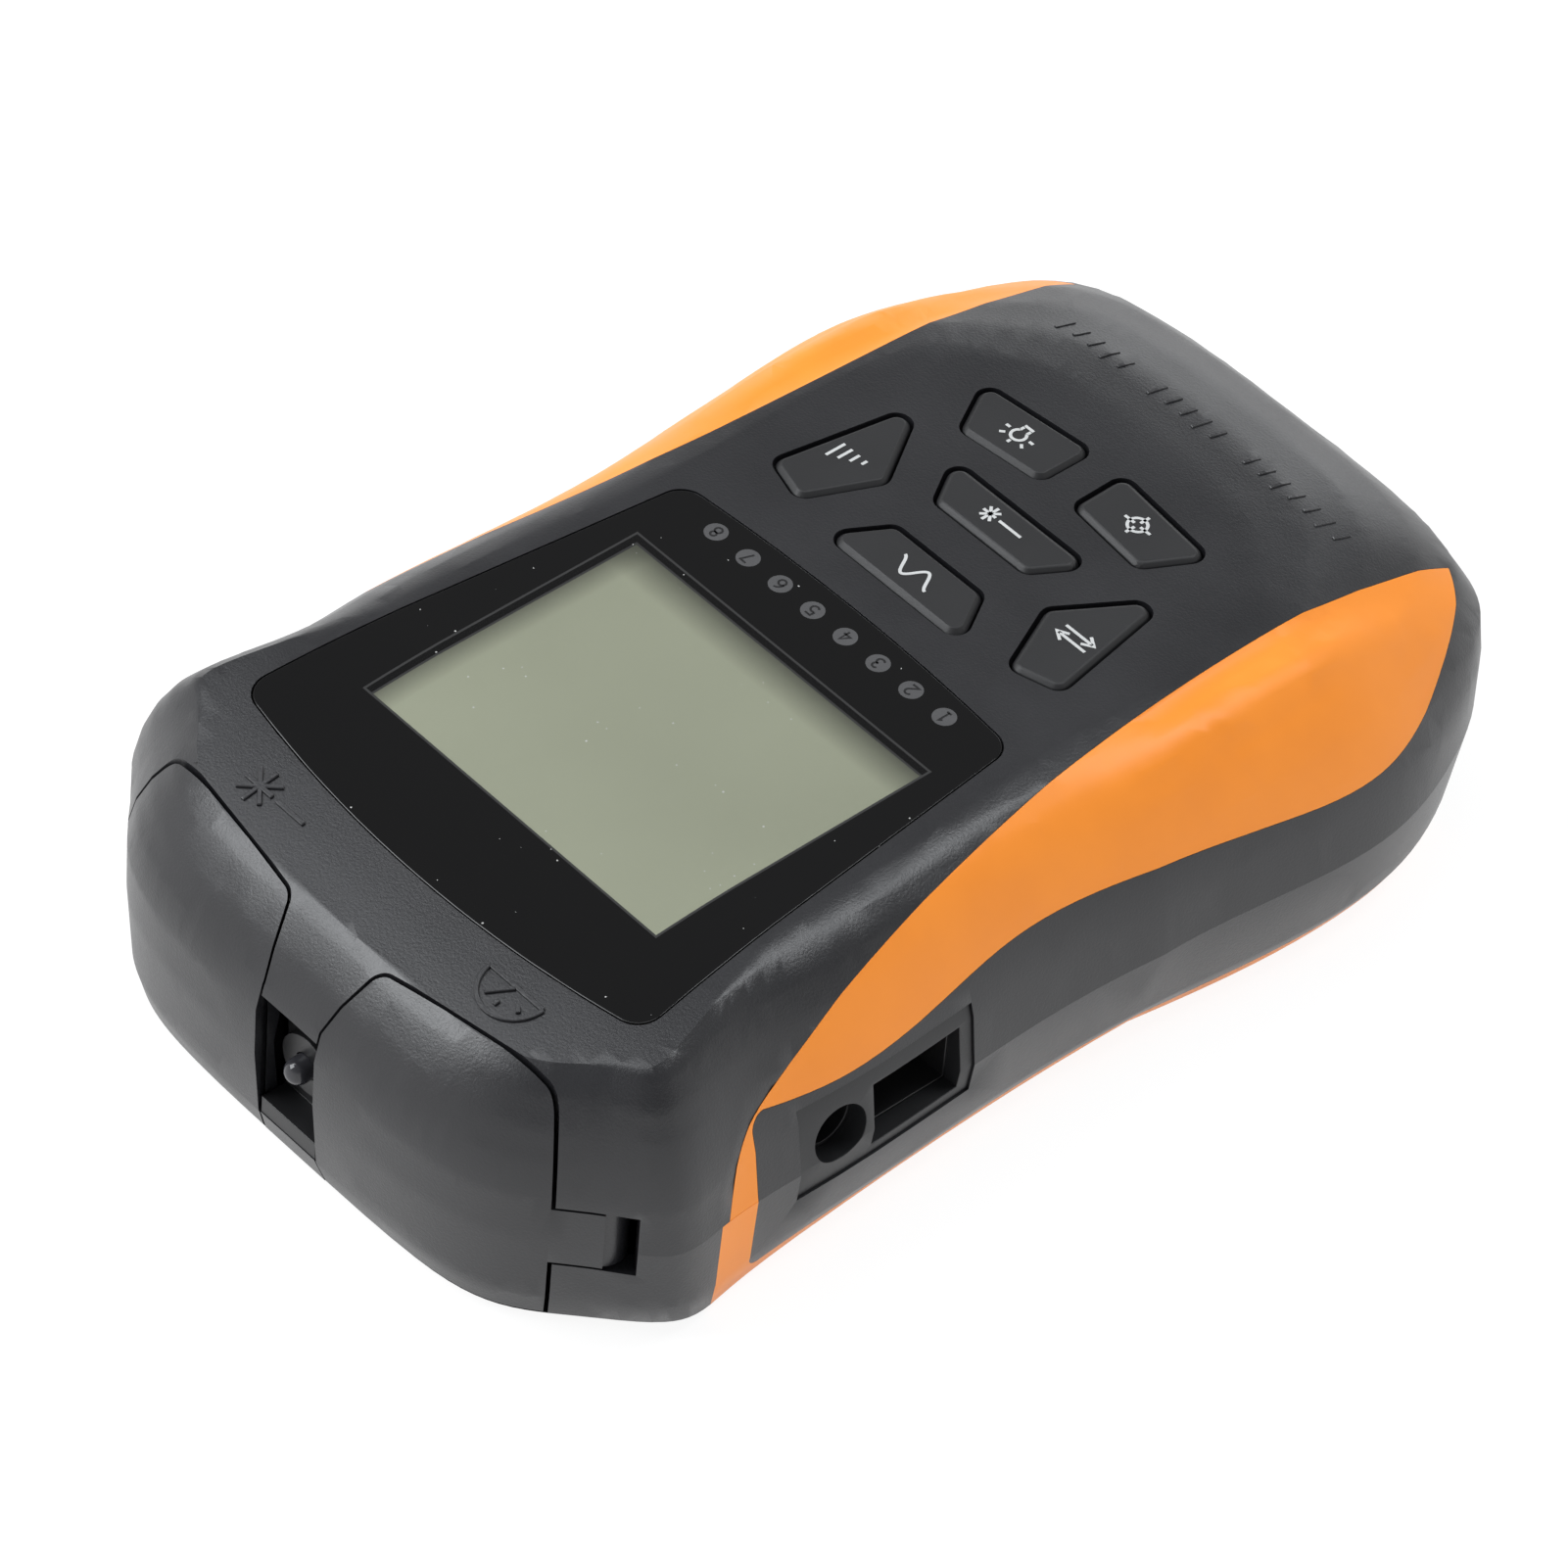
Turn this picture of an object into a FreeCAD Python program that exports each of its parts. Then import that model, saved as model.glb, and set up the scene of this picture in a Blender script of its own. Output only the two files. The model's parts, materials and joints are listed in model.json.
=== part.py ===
"""Handheld optical power meter with a fault-finding laser, a cable tester and a torch.

Frame: +Z up, +Y towards the ports, +X to the right when the display is read with the ports at the top.
The origin is under the middle of the meter, on the surface that it lies on.  Lengths are millimetres.
"""
import FreeCAD, Part
import math
import os
import Sketcher

V = FreeCAD.Vector
UP = V(0, 0, 1)
document = FreeCAD.newDocument("optical_power_meter")

# ---------------------------------------------------------------- driving sizes
SIZES = {
    # casing: how long, how tall, where it parts and how thick its walls are
    "body_length": 142.0, "body_height": 34.7, "parting_height": 13.6, "wall": 2.4,
    "port_half_width": 42.8, "waist_half_width": 41.8, "heel_half_width": 44.9,
    "crease_half_width": 42.8, "crease_y": -11.4, "corner_inset": 5.5, "shoulder_run": 13.2,
    "belly_run": 5.4, "nose_run": 13.5, "heel_run": 23.2, "camber_radius": 190.0, "camber_start": 28.0,
    # overmoulded grips; the band crosses the side between two distances from the port end
    "grip_depth": 1.4, "grip_band_far": 26.5, "grip_band_near": 21.4, "grip_low_edge": 2.8,
    "grip_strip_end": 13.0, "grip_band_inner": 31.4, "grip_round": 1.8,
    # window and display; the window is wider than the display by a rim at each end
    "window_port_rim": 8.5, "window_far_rim": 2.7, "window_port_back": 16.4, "window_far_y": -4.9,
    "window_port_bow": 3.2, "window_far_bow": 1.3, "window_corner": 3.0, "window_thick": 1.5,
    "window_gap": 0.15, "window_ledge": 0.8,
    "lcd_view_width": 45.0, "lcd_view_length": 36.8, "lcd_centre_y": 23.8, "lcd_margin": 2.0,
    "lcd_thick": 2.8, "lcd_gap": 0.2, "frame_wall": 1.6, "frame_gap": 0.2, "frame_step": 1.0,
    # cable-tester row
    "lamp_pitch": 5.045, "lamp_row_y": -1.35, "guide_radius": 1.3, "guide_gap": 0.2, "lamp_height": 0.8,
    # board, hung below the top of the casing
    "board_drop": 9.5, "board_thick": 1.6, "board_half_width": 31.0, "board_back": 27.0,
    "board_far_y": -44.5,
    # keys
    "key_proud": 0.2, "key_gap": 0.35, "key_corner": 1.5, "key_flange": 1.1, "key_flange_thick": 1.0,
    "key_travel": 0.8, "key_stem_radius": 1.9, "key_edge": 0.6, "mat_thick": 0.8, "dome_height": 1.8,
    "dome_radius": 2.6, "dome_air": 0.2,
    # ports and their covers; distances named back run from the port end, those named inset from the side
    "cover_wall": 1.8, "cover_gap": 0.3, "cover_floor": 1.6, "recess_half": 4.6, "cover_tip_x": 7.2,
    "cover_tip_back": 6.3, "cover_tip_round": 2.0, "seam_top_inset": 13.1, "seam_top_back": 9.5,
    "seam_face_inset": 9.2, "seam_face_back": 6.4, "seam_round": 3.0,
    "hinge_inset": 7.8, "hinge_back": 12.2, "knuckle_radius": 2.7, "pin_radius": 0.8,
    "pin_gap": 0.08, "tab_bottom": 10.4, "tab_top": 18.3, "slot_end": 3.35, "boss_height": 3.0,
    "pin_end": 0.8, "plate_back": 10.0, "plate_thick": 2.2, "plate_inset": 13.6, "recess_depth": 4.1,
    "recess_top": 22.0, "ledge_bottom": 4.75, "ledge_top": 7.0, "ledge_back": 0.8, "port_x": 19.0,
    "port_z": 13.6, "ferrule_bore": 1.26, "adapter_barrel": 4.0, "adapter_face_back": 4.0,
    "adapter_flange": 5.5, "adapter_flange_thick": 1.2, "adapter_end_back": 14.0, "adapter_tail": 3.1,
    "laser_radius": 4.4, "laser_length": 21.0, "detector_radius": 4.6, "detector_length": 6.0,
    # torch
    "torch_radius": 1.5, "torch_back": 1.9, "torch_length": 6.0, "torch_gap": 0.1, "bezel_radius": 3.75,
    "bezel_thick": 1.2,
    # side port panel, network socket and power jack
    "panel_back_y": 14.7, "panel_front_y": 38.8, "panel_bottom": 9.6, "panel_top": 21.6,
    "panel_inset": 0.3, "panel_depth": 2.2, "panel_room": 3.0, "socket_y": 22.6, "socket_width": 14.0,
    "socket_length": 15.0, "mouth_gap": 0.2, "socket_mouth": 11.8, "socket_mouth_bottom": 11.3,
    "socket_mouth_top": 18.6, "socket_depth": 12.0, "socket_step": 3.6, "latch_width": 4.2,
    "latch_height": 1.0, "contact_pitch": 1.02, "contact_width": 0.45,
    "jack_y": 33.2, "jack_z": 15.6, "jack_hole": 3.4, "jack_radius": 3.6, "jack_bore": 2.95,
    "jack_length": 11.0, "jack_depth": 9.0, "jack_pin": 1.0, "jack_pin_back": 4.0,
    # cells, tray and door
    "cell_radius": 7.15, "cell_length": 50.2, "cell_pitch": 14.7, "tray_end": 10.5,
    "tray_wall": 1.5, "tray_spare": 2.1, "spring_length": 4.2, "contact_plate": 0.5,
    "door_half": 22.3, "door_gap": 0.3, "door_lap": 1.6, "door_thick": 2.1, "tongue_width": 1.5,
    "tongue_bottom": 0.9, "tongue_top": 1.6,
    # screws
    "screw_x": 28.4, "screw_back": 20.5, "screw_shank": 1.5,
    "screw_head": 2.7, "screw_head_height": 1.8, "screw_sink": 1.2, "screw_length": 16.0,
    "boss_radius": 3.6, "screw_gap": 0.1,
}
# corners of the key caps: two of the six shapes are used again, mirrored
KEY_CORNERS = {
    "side_key": ((22.4, -13.4), (19.3, -32.0), (12.3, -20.7), (16.3, -11.6)),
    "low_key": ((2.5, -33.8), (13.7, -32.6), (17.6, -39.8), (2.4, -41.5)),
    "top_key": ((10.6, -10.2), (6.7, -17.0), (-6.7, -17.0), (-10.6, -10.2)),
    "mid_key": ((7.0, -22.7), (10.7, -28.9), (-10.7, -28.9), (-7.0, -22.7)),
}
KEYS = (
    ("meter_unit_key", "side_key", -1), ("decibel_key", "side_key", 1), ("lamp_key", "low_key", 1),
    ("reference_key", "low_key", -1), ("wavelength_key", "top_key", 1), ("laser_key", "mid_key", 1),
)

sheet = document.addObject("Spreadsheet::Sheet", "Sizes")
row = 1
for alias, number in SIZES.items():
    sheet.set("A%d" % row, alias.replace("_", " "))
    sheet.set("B%d" % row, str(number))
    sheet.setAlias("B%d" % row, alias)
    row += 1
for shape_name, corners in KEY_CORNERS.items():
    for index, corner in enumerate(corners):
        for axis, number in zip("xy", corner):
            alias = "%s_%s%s" % (shape_name, axis, "abcd"[index])
            sheet.set("A%d" % row, alias.replace("_", " "))
            sheet.set("B%d" % row, str(number))
            sheet.setAlias("B%d" % row, alias)
            row += 1
document.recompute()


class Size:
    """A length that carries its value and the sheet expression that gives it."""

    def __init__(self, value, text):
        self.value = value
        self.text = text

    def combine(self, other, value, sign):
        return Size(value, "(%s %s %s)" % (self.text, sign, other.text))

    def __add__(self, other):
        other = as_size(other)
        return self.combine(other, self.value + other.value, "+")

    def __sub__(self, other):
        other = as_size(other)
        return self.combine(other, self.value - other.value, "-")

    def __mul__(self, other):
        other = as_size(other)
        return self.combine(other, self.value * other.value, "*")

    def __truediv__(self, other):
        other = as_size(other)
        return self.combine(other, self.value / other.value, "/")

    def __neg__(self):
        return Size(-self.value, "(0 - %s)" % self.text)

    __radd__ = __add__
    __rmul__ = __mul__


def as_size(thing):
    return thing if isinstance(thing, Size) else Size(float(thing), repr(float(thing)))


def s(alias):
    """The size of that name in the sheet."""
    return Size(float(sheet.get(alias)), "Sizes." + alias)


def mm(alias):
    """The plain number behind a size, for shapes made by Part's own functions."""
    return float(sheet.get(alias))


def bind(thing, prop, size):
    thing.setExpression(prop, as_size(size).text)


# ---------------------------------------------------------------- helpers for the sub-parts
NODES = []


def node(thing, name):
    thing.Label = name
    NODES.append(thing)
    return thing


def place(thing, x, y, z):
    for axis, size in zip("xyz", (x, y, z)):
        bind(thing, "Placement.Base." + axis, size)


def box(name, x, y, z):
    """A block between two planes on each axis."""
    block = document.addObject("Part::Box", name)
    for prop, (low, high) in zip(("Length", "Width", "Height"), (x, y, z)):
        bind(block, prop, as_size(high) - as_size(low))
    place(block, x[0], y[0], z[0])
    return block


def rod(name, radius, length, start, axis="z"):
    """A cylinder that runs from its start point along one of the axes."""
    cylinder = document.addObject("Part::Cylinder", name)
    bind(cylinder, "Radius", radius)
    bind(cylinder, "Height", length)
    turn = {"x": FreeCAD.Rotation(V(0, 1, 0), 90), "y": FreeCAD.Rotation(V(1, 0, 0), -90),
            "z": FreeCAD.Rotation()}[axis]
    cylinder.Placement = FreeCAD.Placement(V(), turn)
    place(cylinder, *start)
    return cylinder


def post_prism(name, radius, length, start, axis="z"):
    """An eight-sided post, for stems and pins that nothing has to turn on."""
    prism_post = document.addObject("Part::Prism", name)
    prism_post.Polygon = 8
    bind(prism_post, "Circumradius", radius)
    bind(prism_post, "Height", length)
    turn = FreeCAD.Rotation(V(1, 0, 0), -90) if axis == "y" else FreeCAD.Rotation()
    prism_post.Placement = FreeCAD.Placement(V(), turn)
    place(prism_post, *start)
    return prism_post


def cut(name, base, *tools):
    result = base
    for count, tool in enumerate(tools, 1):
        piece = document.addObject("Part::Cut", "%s_cut%d" % (name, count))
        piece.Base = result
        piece.Tool = tool
        result = piece
    return result


def fuse(name, *pieces):
    joined = document.addObject("Part::MultiFuse", name + "_joined")
    joined.Shapes = list(pieces)
    return joined


def group(name, *pieces):
    """Separate like solids that share one node."""
    together = document.addObject("Part::Compound", name + "_set")
    together.Links = list(pieces)
    return together


def raw(name, shape):
    """A shape made by Part's own functions, as an object of the document."""
    feature = document.addObject("Part::Feature", name)
    feature.Shape = shape
    return feature


def polygon_sketch(body, name, height, points):
    """A closed polygon on the body's XY plane, each corner held by two sizes from the origin."""
    sketch = body.newObject("Sketcher::SketchObject", name)
    plane = [f for f in body.Origin.OriginFeatures if f.Role == "XY_Plane"][0]
    sketch.AttachmentSupport = [(plane, "")]
    sketch.MapMode = "FlatFace"
    bind(sketch, "AttachmentOffset.Base.z", height)
    corners = [(as_size(x), as_size(y)) for x, y in points]
    count = len(corners)
    for i in range(count):
        ends = [V(x.value, y.value, 0) for x, y in (corners[i], corners[(i + 1) % count])]
        sketch.addGeometry(Part.LineSegment(*ends), False)
    for i in range(count):
        sketch.addConstraint(Sketcher.Constraint("Coincident", i, 2, (i + 1) % count, 1))
    for i, corner in enumerate(corners):
        for kind, size in zip(("DistanceX", "DistanceY"), corner):
            if size.value >= 0:
                at = sketch.addConstraint(Sketcher.Constraint(kind, -1, 1, i, 1, size.value))
                sketch.setExpression("Constraints[%d]" % at, size.text)
            else:
                at = sketch.addConstraint(Sketcher.Constraint(kind, i, 1, -1, 1, -size.value))
                sketch.setExpression("Constraints[%d]" % at, (-size).text)
    return sketch


def plate(name, height, thickness, points, radius=None):
    """A body padded upwards from a polygon, with its upright edges rounded if a radius is given."""
    body = document.addObject("PartDesign::Body", name)
    sketch = polygon_sketch(body, name + "_outline", height, points)
    pad = body.newObject("PartDesign::Pad", name + "_pad")
    pad.Profile = sketch
    bind(pad, "Length", thickness)
    document.recompute()
    if radius is not None:
        upright = [
            "Edge%d" % i for i, edge in enumerate(pad.Shape.Edges, 1)
            if abs(edge.tangentAt(edge.FirstParameter).z) > 0.99
        ]
        rounding = body.newObject("PartDesign::Fillet", name + "_corners")
        rounding.Base = (pad, upright)
        bind(rounding, "Radius", radius)
        document.recompute()
    return body


def rectangle(x, y):
    return [(x[0], y[0]), (x[1], y[0]), (x[1], y[1]), (x[0], y[1])]


def mirrored(x, side):
    return x if side > 0 else -x

# ---------------------------------------------------------------- places worked out from the sizes
END = s("body_length") / 2
WINDOW_PORT_Y = END - s("window_port_back")
COVER_TIP_Y = END - s("cover_tip_back")
SEAM_TOP_Y = END - s("seam_top_back")
SEAM_FACE_Y = END - s("seam_face_back")
HINGE_Y = END - s("hinge_back")
PLATE_FRONT = END - s("plate_back")
RECESS_BACK = END - s("recess_depth")
LEDGE_FRONT = END - s("ledge_back")
ADAPTER_FRONT = END - s("adapter_face_back")
ADAPTER_BACK = END - s("adapter_end_back")
TORCH_Y = END - s("torch_back")
SCREW_PORT_Y = END - s("screw_back")
SCREW_FAR_Y = s("screw_back") - END
BAND_FAR = END - s("grip_band_far")
BAND_NEAR = END - s("grip_band_near")
BOARD_PORT_Y = END - s("board_back")
TRAY_FAR_Y = s("tray_end") - END
TRAY_PORT_Y = (TRAY_FAR_Y + s("contact_plate") * 2 + s("spring_length") + s("cell_length")
               + s("tray_spare"))
DOOR_PORT_Y = TRAY_PORT_Y + s("door_lap")
SEAM_TOP_X = s("port_half_width") - s("seam_top_inset")
SEAM_FACE_X = s("port_half_width") - s("seam_face_inset")
HINGE_X = s("port_half_width") - s("hinge_inset")
PLATE_HALF = s("port_half_width") - s("plate_inset")
PANEL_INNER_X = s("waist_half_width") - s("panel_depth")
WINDOW_PORT_HALF = s("lcd_view_width") / 2 + s("window_port_rim")
WINDOW_FAR_HALF = s("lcd_view_width") / 2 + s("window_far_rim")
BOARD_TOP = s("body_height") - s("board_drop")
OUTSIDE = 60.0  # further out than any part of the casing


# ---------------------------------------------------------------- form of the casing
HALF = mm("body_length") / 2
PART_Z = mm("parting_height")
TOP_Z = mm("body_height")
SHOULDER = mm("shoulder_run")
BELLY = mm("belly_run")


class Anchor:
    """One point of the casing's outline, and how the walls round over above it and below it.

    At the parting height the point is at (x, y).  Up to round_from the wall is upright, then it follows
    a quarter of a superellipse, which runs in by (in_x, in_y) at the top.  Its power is 2 for a true
    ellipse and less where the shoulder is flatter.  Below the parting the wall follows a fuller one,
    which runs in by (under_x, under_y) at the bottom.  (out_x, out_y) is the way out of the wall.
    """

    def __init__(self, x, y, round_from, run_in, power, run_under, out):
        self.x, self.y = x, y
        self.round_from = round_from
        self.run_in = run_in
        self.power = power
        self.run_under = run_under
        self.out = out

    def at(self, z, inset):
        if z >= PART_Z:
            start = min(self.round_from, TOP_Z - inset - 1)
            rise = max(0.0, (z - start) / (TOP_Z - inset - start))
            run, power = self.run_in, self.power
        else:
            rise = (PART_Z - z) / (PART_Z - inset)
            run, power = self.run_under, UNDER_POWER
        left = 1 - max(0.0, 1 - min(rise, 1.0) ** power) ** (1 / power)
        x = self.x - run[0] * left - self.out[0] * inset
        y = self.y - run[1] * left - self.out[1] * inset
        return V(x if self.x else 0.0, y, z)


UNDER_POWER = 2.2
NOSE = mm("nose_run")
HEEL = mm("heel_run")
PORT = mm("port_half_width")
WAIST = mm("waist_half_width")
HEEL_W = mm("heel_half_width")
CREASE = mm("crease_half_width")
CREASE_Y = mm("crease_y")
REACH = PORT - mm("corner_inset")
crease = Anchor(CREASE, CREASE_Y, PART_Z, (SHOULDER + 1.7, 0), 1.85, (BELLY + 0.9, -1.0), (1, 0))
PORT_HALF = (
    Anchor(0, HALF, PART_Z + 6.9, (0, NOSE), 1.5, (0, 3.6), (0, 1)),
    Anchor(0.47 * REACH, HALF - 0.3, PART_Z + 6.9, (2.0, NOSE), 1.5, (0, 3.6), (0.05, 1)),
    Anchor(0.81 * REACH, HALF - 4.0, PART_Z + 6.4, (4.8, NOSE - 2.4), 1.5, (2.4, 2.0), (0.5, 0.87)),
    Anchor(REACH, HALF - 10.0, PART_Z + 5.4, (7.3, NOSE - 5.0), 1.65, (2.4, 2.3), (0.71, 0.71)),
    Anchor(PORT, HALF - 15.7, PART_Z + 2.5, (SHOULDER - 2.0, NOSE - 8.3), 1.8, (2.2, 4.2), (0.9, 0.43)),
    Anchor(PORT - 0.1, HALF - 21.6, PART_Z, (SHOULDER - 1.3, NOSE - 5.7), 1.75, (2.0, 2.8), (1, 0)),
    Anchor(PORT - 0.2, HALF - 37.4, PART_Z, (SHOULDER - 0.7, 5.1), 1.72, (BELLY - 0.9, 0.2), (1, 0)),
    Anchor(WAIST, HALF - 66.2, PART_Z, (SHOULDER + 0.1, 1.1), 1.75, (BELLY - 0.5, 0.7), (1, 0)),
    crease,
)
FAR_HALF = (
    crease,
    Anchor(HEEL_W - 0.6, CREASE_Y - 16.6, PART_Z, (SHOULDER + 2.9, -2.0), 1.9, (BELLY - 0.6, -0.8), (1, 0)),
    Anchor(HEEL_W, 27.8 - HALF, PART_Z + 0.6, (SHOULDER + 5.1, -5.9), 1.85, (BELLY + 0.2, 0), (1, -0.1)),
    Anchor(HEEL_W - 4.0, 14.8 - HALF, PART_Z + 3.1, (SHOULDER + 4.3, 8.8 - HEEL), 1.75, (3.9, -3.2),
           (0.9, -0.43)),
    Anchor(HEEL_W - 11.4, 4.4 - HALF, PART_Z + 8.2, (SHOULDER + 4.2, 3.2 - HEEL), 1.7, (4.8, -4.7),
           (0.6, -0.8)),
    Anchor(HEEL_W - 27.0, 0.3 - HALF, PART_Z + 9.5, (8.2, -HEEL), 1.9, (2.0, -4.8), (0.15, -1)),
    Anchor(0, -HALF, PART_Z + 9.5, (0, -HEEL), 2.0, (0, -4.8), (0, -1)),
)
UPPER_LEVELS = (0.0, 0.3, 0.46, 0.62, 0.77, 0.89, 0.97, 1.0)
LOWER_LEVELS = (0.0, 0.1, 0.35, 1.0)


def whole(half, z, inset):
    """The points of half an outline, with their mirror images, as one run from side to side."""
    points = [anchor.at(z, inset) for anchor in half]
    if half is PORT_HALF:
        return [V(-p.x, p.y, p.z) for p in reversed(points[1:])] + points
    return points + [V(-p.x, p.y, p.z) for p in reversed(points[:-1])]


def pace(points):
    """Distances along a run of points, which set the knots of its spline."""
    distances = [0.0]
    for a, b in zip(points, points[1:]):
        distances.append(distances[-1] + a.distanceToPoint(b))
    return distances


def outline(z, inset):
    """The closed outline of the casing at one height: a spline round each end, creased where they meet."""
    edges = []
    for half in (PORT_HALF, FAR_HALF):
        curve = Part.BSplineCurve()
        curve.interpolate(Points=whole(half, z, inset), Parameters=pace(whole(half, PART_Z, 0)))
        edges.append(curve.toShape())
    return Part.Wire(edges)


def angular_outline(z, inset):
    """The same outline with straight runs between its points, for the cavity that is never seen."""
    points = whole(PORT_HALF, z, inset)[:-1] + whole(FAR_HALF, z, inset)[:-1]
    return Part.makePolygon(points + [points[0]])


def prism(points, low, high):
    """A polygon of (x, y) corners raised from one height to another."""
    wire = Part.makePolygon([V(x, y, low) for x, y in points + points[:1]])
    return Part.Face(wire).extrude(V(0, 0, high - low))


def camber(drop):
    """What is taken off the top towards the ports: all that lies above a long arc across the casing."""
    radius = mm("camber_radius")
    start = mm("camber_start")
    apex = TOP_Z + 0.05 - drop
    arc = [V(-OUTSIDE, start + radius * math.sin(t), apex - radius + radius * math.cos(t))
           for t in (0, 0.12, 0.3)]
    above = [V(-OUTSIDE, arc[2].y, 2 * TOP_Z), V(-OUTSIDE, arc[0].y, 2 * TOP_Z)]
    edges = [Part.Arc(*arc).toShape()]
    for a, b in ((arc[2], above[0]), (above[0], above[1]), (above[1], arc[0])):
        edges.append(Part.LineSegment(a, b).toShape())
    return Part.Face(Part.Wire(edges)).extrude(V(2 * OUTSIDE, 0, 0))


def upper_form(inset=0.0):
    top = TOP_Z - inset
    levels = [PART_Z + (top - PART_Z) * share for share in UPPER_LEVELS]
    return Part.makeLoft([outline(z, inset) for z in levels], True, True).cut(camber(inset))


def lower_form(inset=0.0):
    levels = [inset + (PART_Z - inset) * share for share in LOWER_LEVELS]
    return Part.makeLoft([outline(z, inset) for z in levels], True, True)


def upper_cavity(inset):
    top = TOP_Z - inset
    levels = [PART_Z + (top - PART_Z) * share for share in (0.0, 0.6, 1.0)]
    return Part.makeLoft([angular_outline(z, inset) for z in levels], True, True).cut(camber(inset))


def lower_cavity(inset):
    levels = [inset + (PART_Z - inset) * share for share in (0.0, 0.35, 1.0)]
    return Part.makeLoft([angular_outline(z, inset) for z in levels], True, True)


def block(x, y, z):
    return Part.makeBox(x[1] - x[0], y[1] - y[0], z[1] - z[0], V(x[0], y[0], z[0]))


def post(x, y, low, high, radius):
    return Part.makeCylinder(radius, high - low, V(x, y, low))


UPPER = upper_form()
LOWER = lower_form()
WALL = mm("wall")
ROOF = TOP_Z - WALL
FLOOR = WALL
CAVITY_UP = upper_cavity(WALL)
CAVITY_LOW = lower_cavity(WALL)

# ---------------------------------------------------------------- covers, hinges and the cuts they need
GAP = mm("cover_gap")
HINGE = V(HINGE_X.value, HINGE_Y.value, 0)
SEAM_TOP = V(SEAM_TOP_X.value, SEAM_TOP_Y.value, 0)
SEAM_FACE = V(SEAM_FACE_X.value, SEAM_FACE_Y.value, 0)
OUTWARD = (SEAM_FACE - SEAM_TOP).normalize()
INWARD = V(-OUTWARD.y, OUTWARD.x, 0)


def cover_plan(side, gap, shrink=0.0, back=0.0):
    """Plan of the space behind and under a port cover; shrink takes a wall off its two ends."""
    inner = mm("recess_half") - gap + shrink
    tip = V(mm("cover_tip_x") - gap + shrink, COVER_TIP_Y.value - gap - back, 0)
    heel = SEAM_TOP - INWARD * (gap - shrink) - V(0, gap + back, 0)
    face = SEAM_FACE - INWARD * (gap - shrink) + OUTWARD * 8
    points = [(inner, HALF + 6), (inner, COVER_TIP_Y.value + 5.4), (tip.x, tip.y), (heel.x, heel.y),
              (face.x, face.y), (face.x, HALF + 6)]
    return [(side * x, y) for x, y in points]


def hinge_plan(side, ahead, behind, out, back):
    """A rectangle round a hinge axis, squared to the casing's corner there."""
    corners = []
    for along, across in ((ahead, -out), (ahead, back), (-behind, back), (-behind, -out)):
        corner = HINGE + INWARD * along - OUTWARD * across
        corners.append((side * corner.x, corner.y))
    return corners


def hinge_slot(side):
    reach = mm("knuckle_radius") + GAP
    return prism(hinge_plan(side, 8, mm("slot_end"), 9, reach), mm("tab_bottom") - GAP, mm("tab_top") + GAP)


def cover_space(side, gap):
    """The room of a port cover, gap wider all round, with the two corners of its seam rounded."""
    plan = cover_plan(side, gap)
    space = prism(plan, mm("cover_floor") - gap, TOP_Z + 5)
    for corner, radius in ((plan[2], mm("cover_tip_round")), (plan[3], mm("seam_round"))):
        upright = [e for e in space.Edges
                   if all(math.hypot(v.X - corner[0], v.Y - corner[1]) < 0.01 for v in e.Vertexes)]
        space = space.makeFillet(radius + gap, upright)
    return space


SLOTS = [hinge_slot(side) for side in (1, -1)]
COVER_SPACES = [cover_space(side, GAP) for side in (1, -1)]
RECESS = block((-mm("recess_half"), mm("recess_half")), (PLATE_FRONT.value, HALF + 6),
               (mm("ledge_bottom"), mm("recess_top")))
PANEL_Y = (mm("panel_back_y"), mm("panel_front_y"))
PANEL_Z = (mm("panel_bottom"), mm("panel_top"))
PANEL_BOX = block((-OUTSIDE, mm("panel_room") - PANEL_INNER_X.value), PANEL_Y, PANEL_Z)

# ---------------------------------------------------------------- grips
BAND = (BAND_FAR.value, BAND_NEAR.value)
GRIP_EDGE = (  # inner edge of the soft grip, seen from above: how far out it runs at each y
    (43.6, BAND[1]), (41.2, BAND[1] - 3.0), (38.9, BAND[1] - 10.6), (36.8, 29.0), (30.9, -3.7),
    (29.6, -18.6), (29.0, -34.0), (29.0, -75.0),
)
GRIP_SILL = (  # lower edge of the upper grip, seen from the side: its height at each y
    (20.0, 23.5), (8.0, 25.0), (-8.0, 24.5), (-25.0, 23.0), (-42.0, 22.0), (-52.0, 23.6), (-62.0, 26.6),
    (-75.0, 28.2),
)
SILL_CORNER = 23.8
ROUND = mm("grip_round")
DIAGONAL = math.sqrt(0.5)


def side_profile(curves, corners):
    """A face in the plane x = 0, bounded by curves and then by straight runs through the corners."""
    edges = [curve.toShape() for curve in curves]
    edges += [Part.LineSegment(a, b).toShape() for a, b in zip(corners, corners[1:])]
    return Part.Face(Part.Wire(Part.__sortEdges__(edges)))


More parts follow.
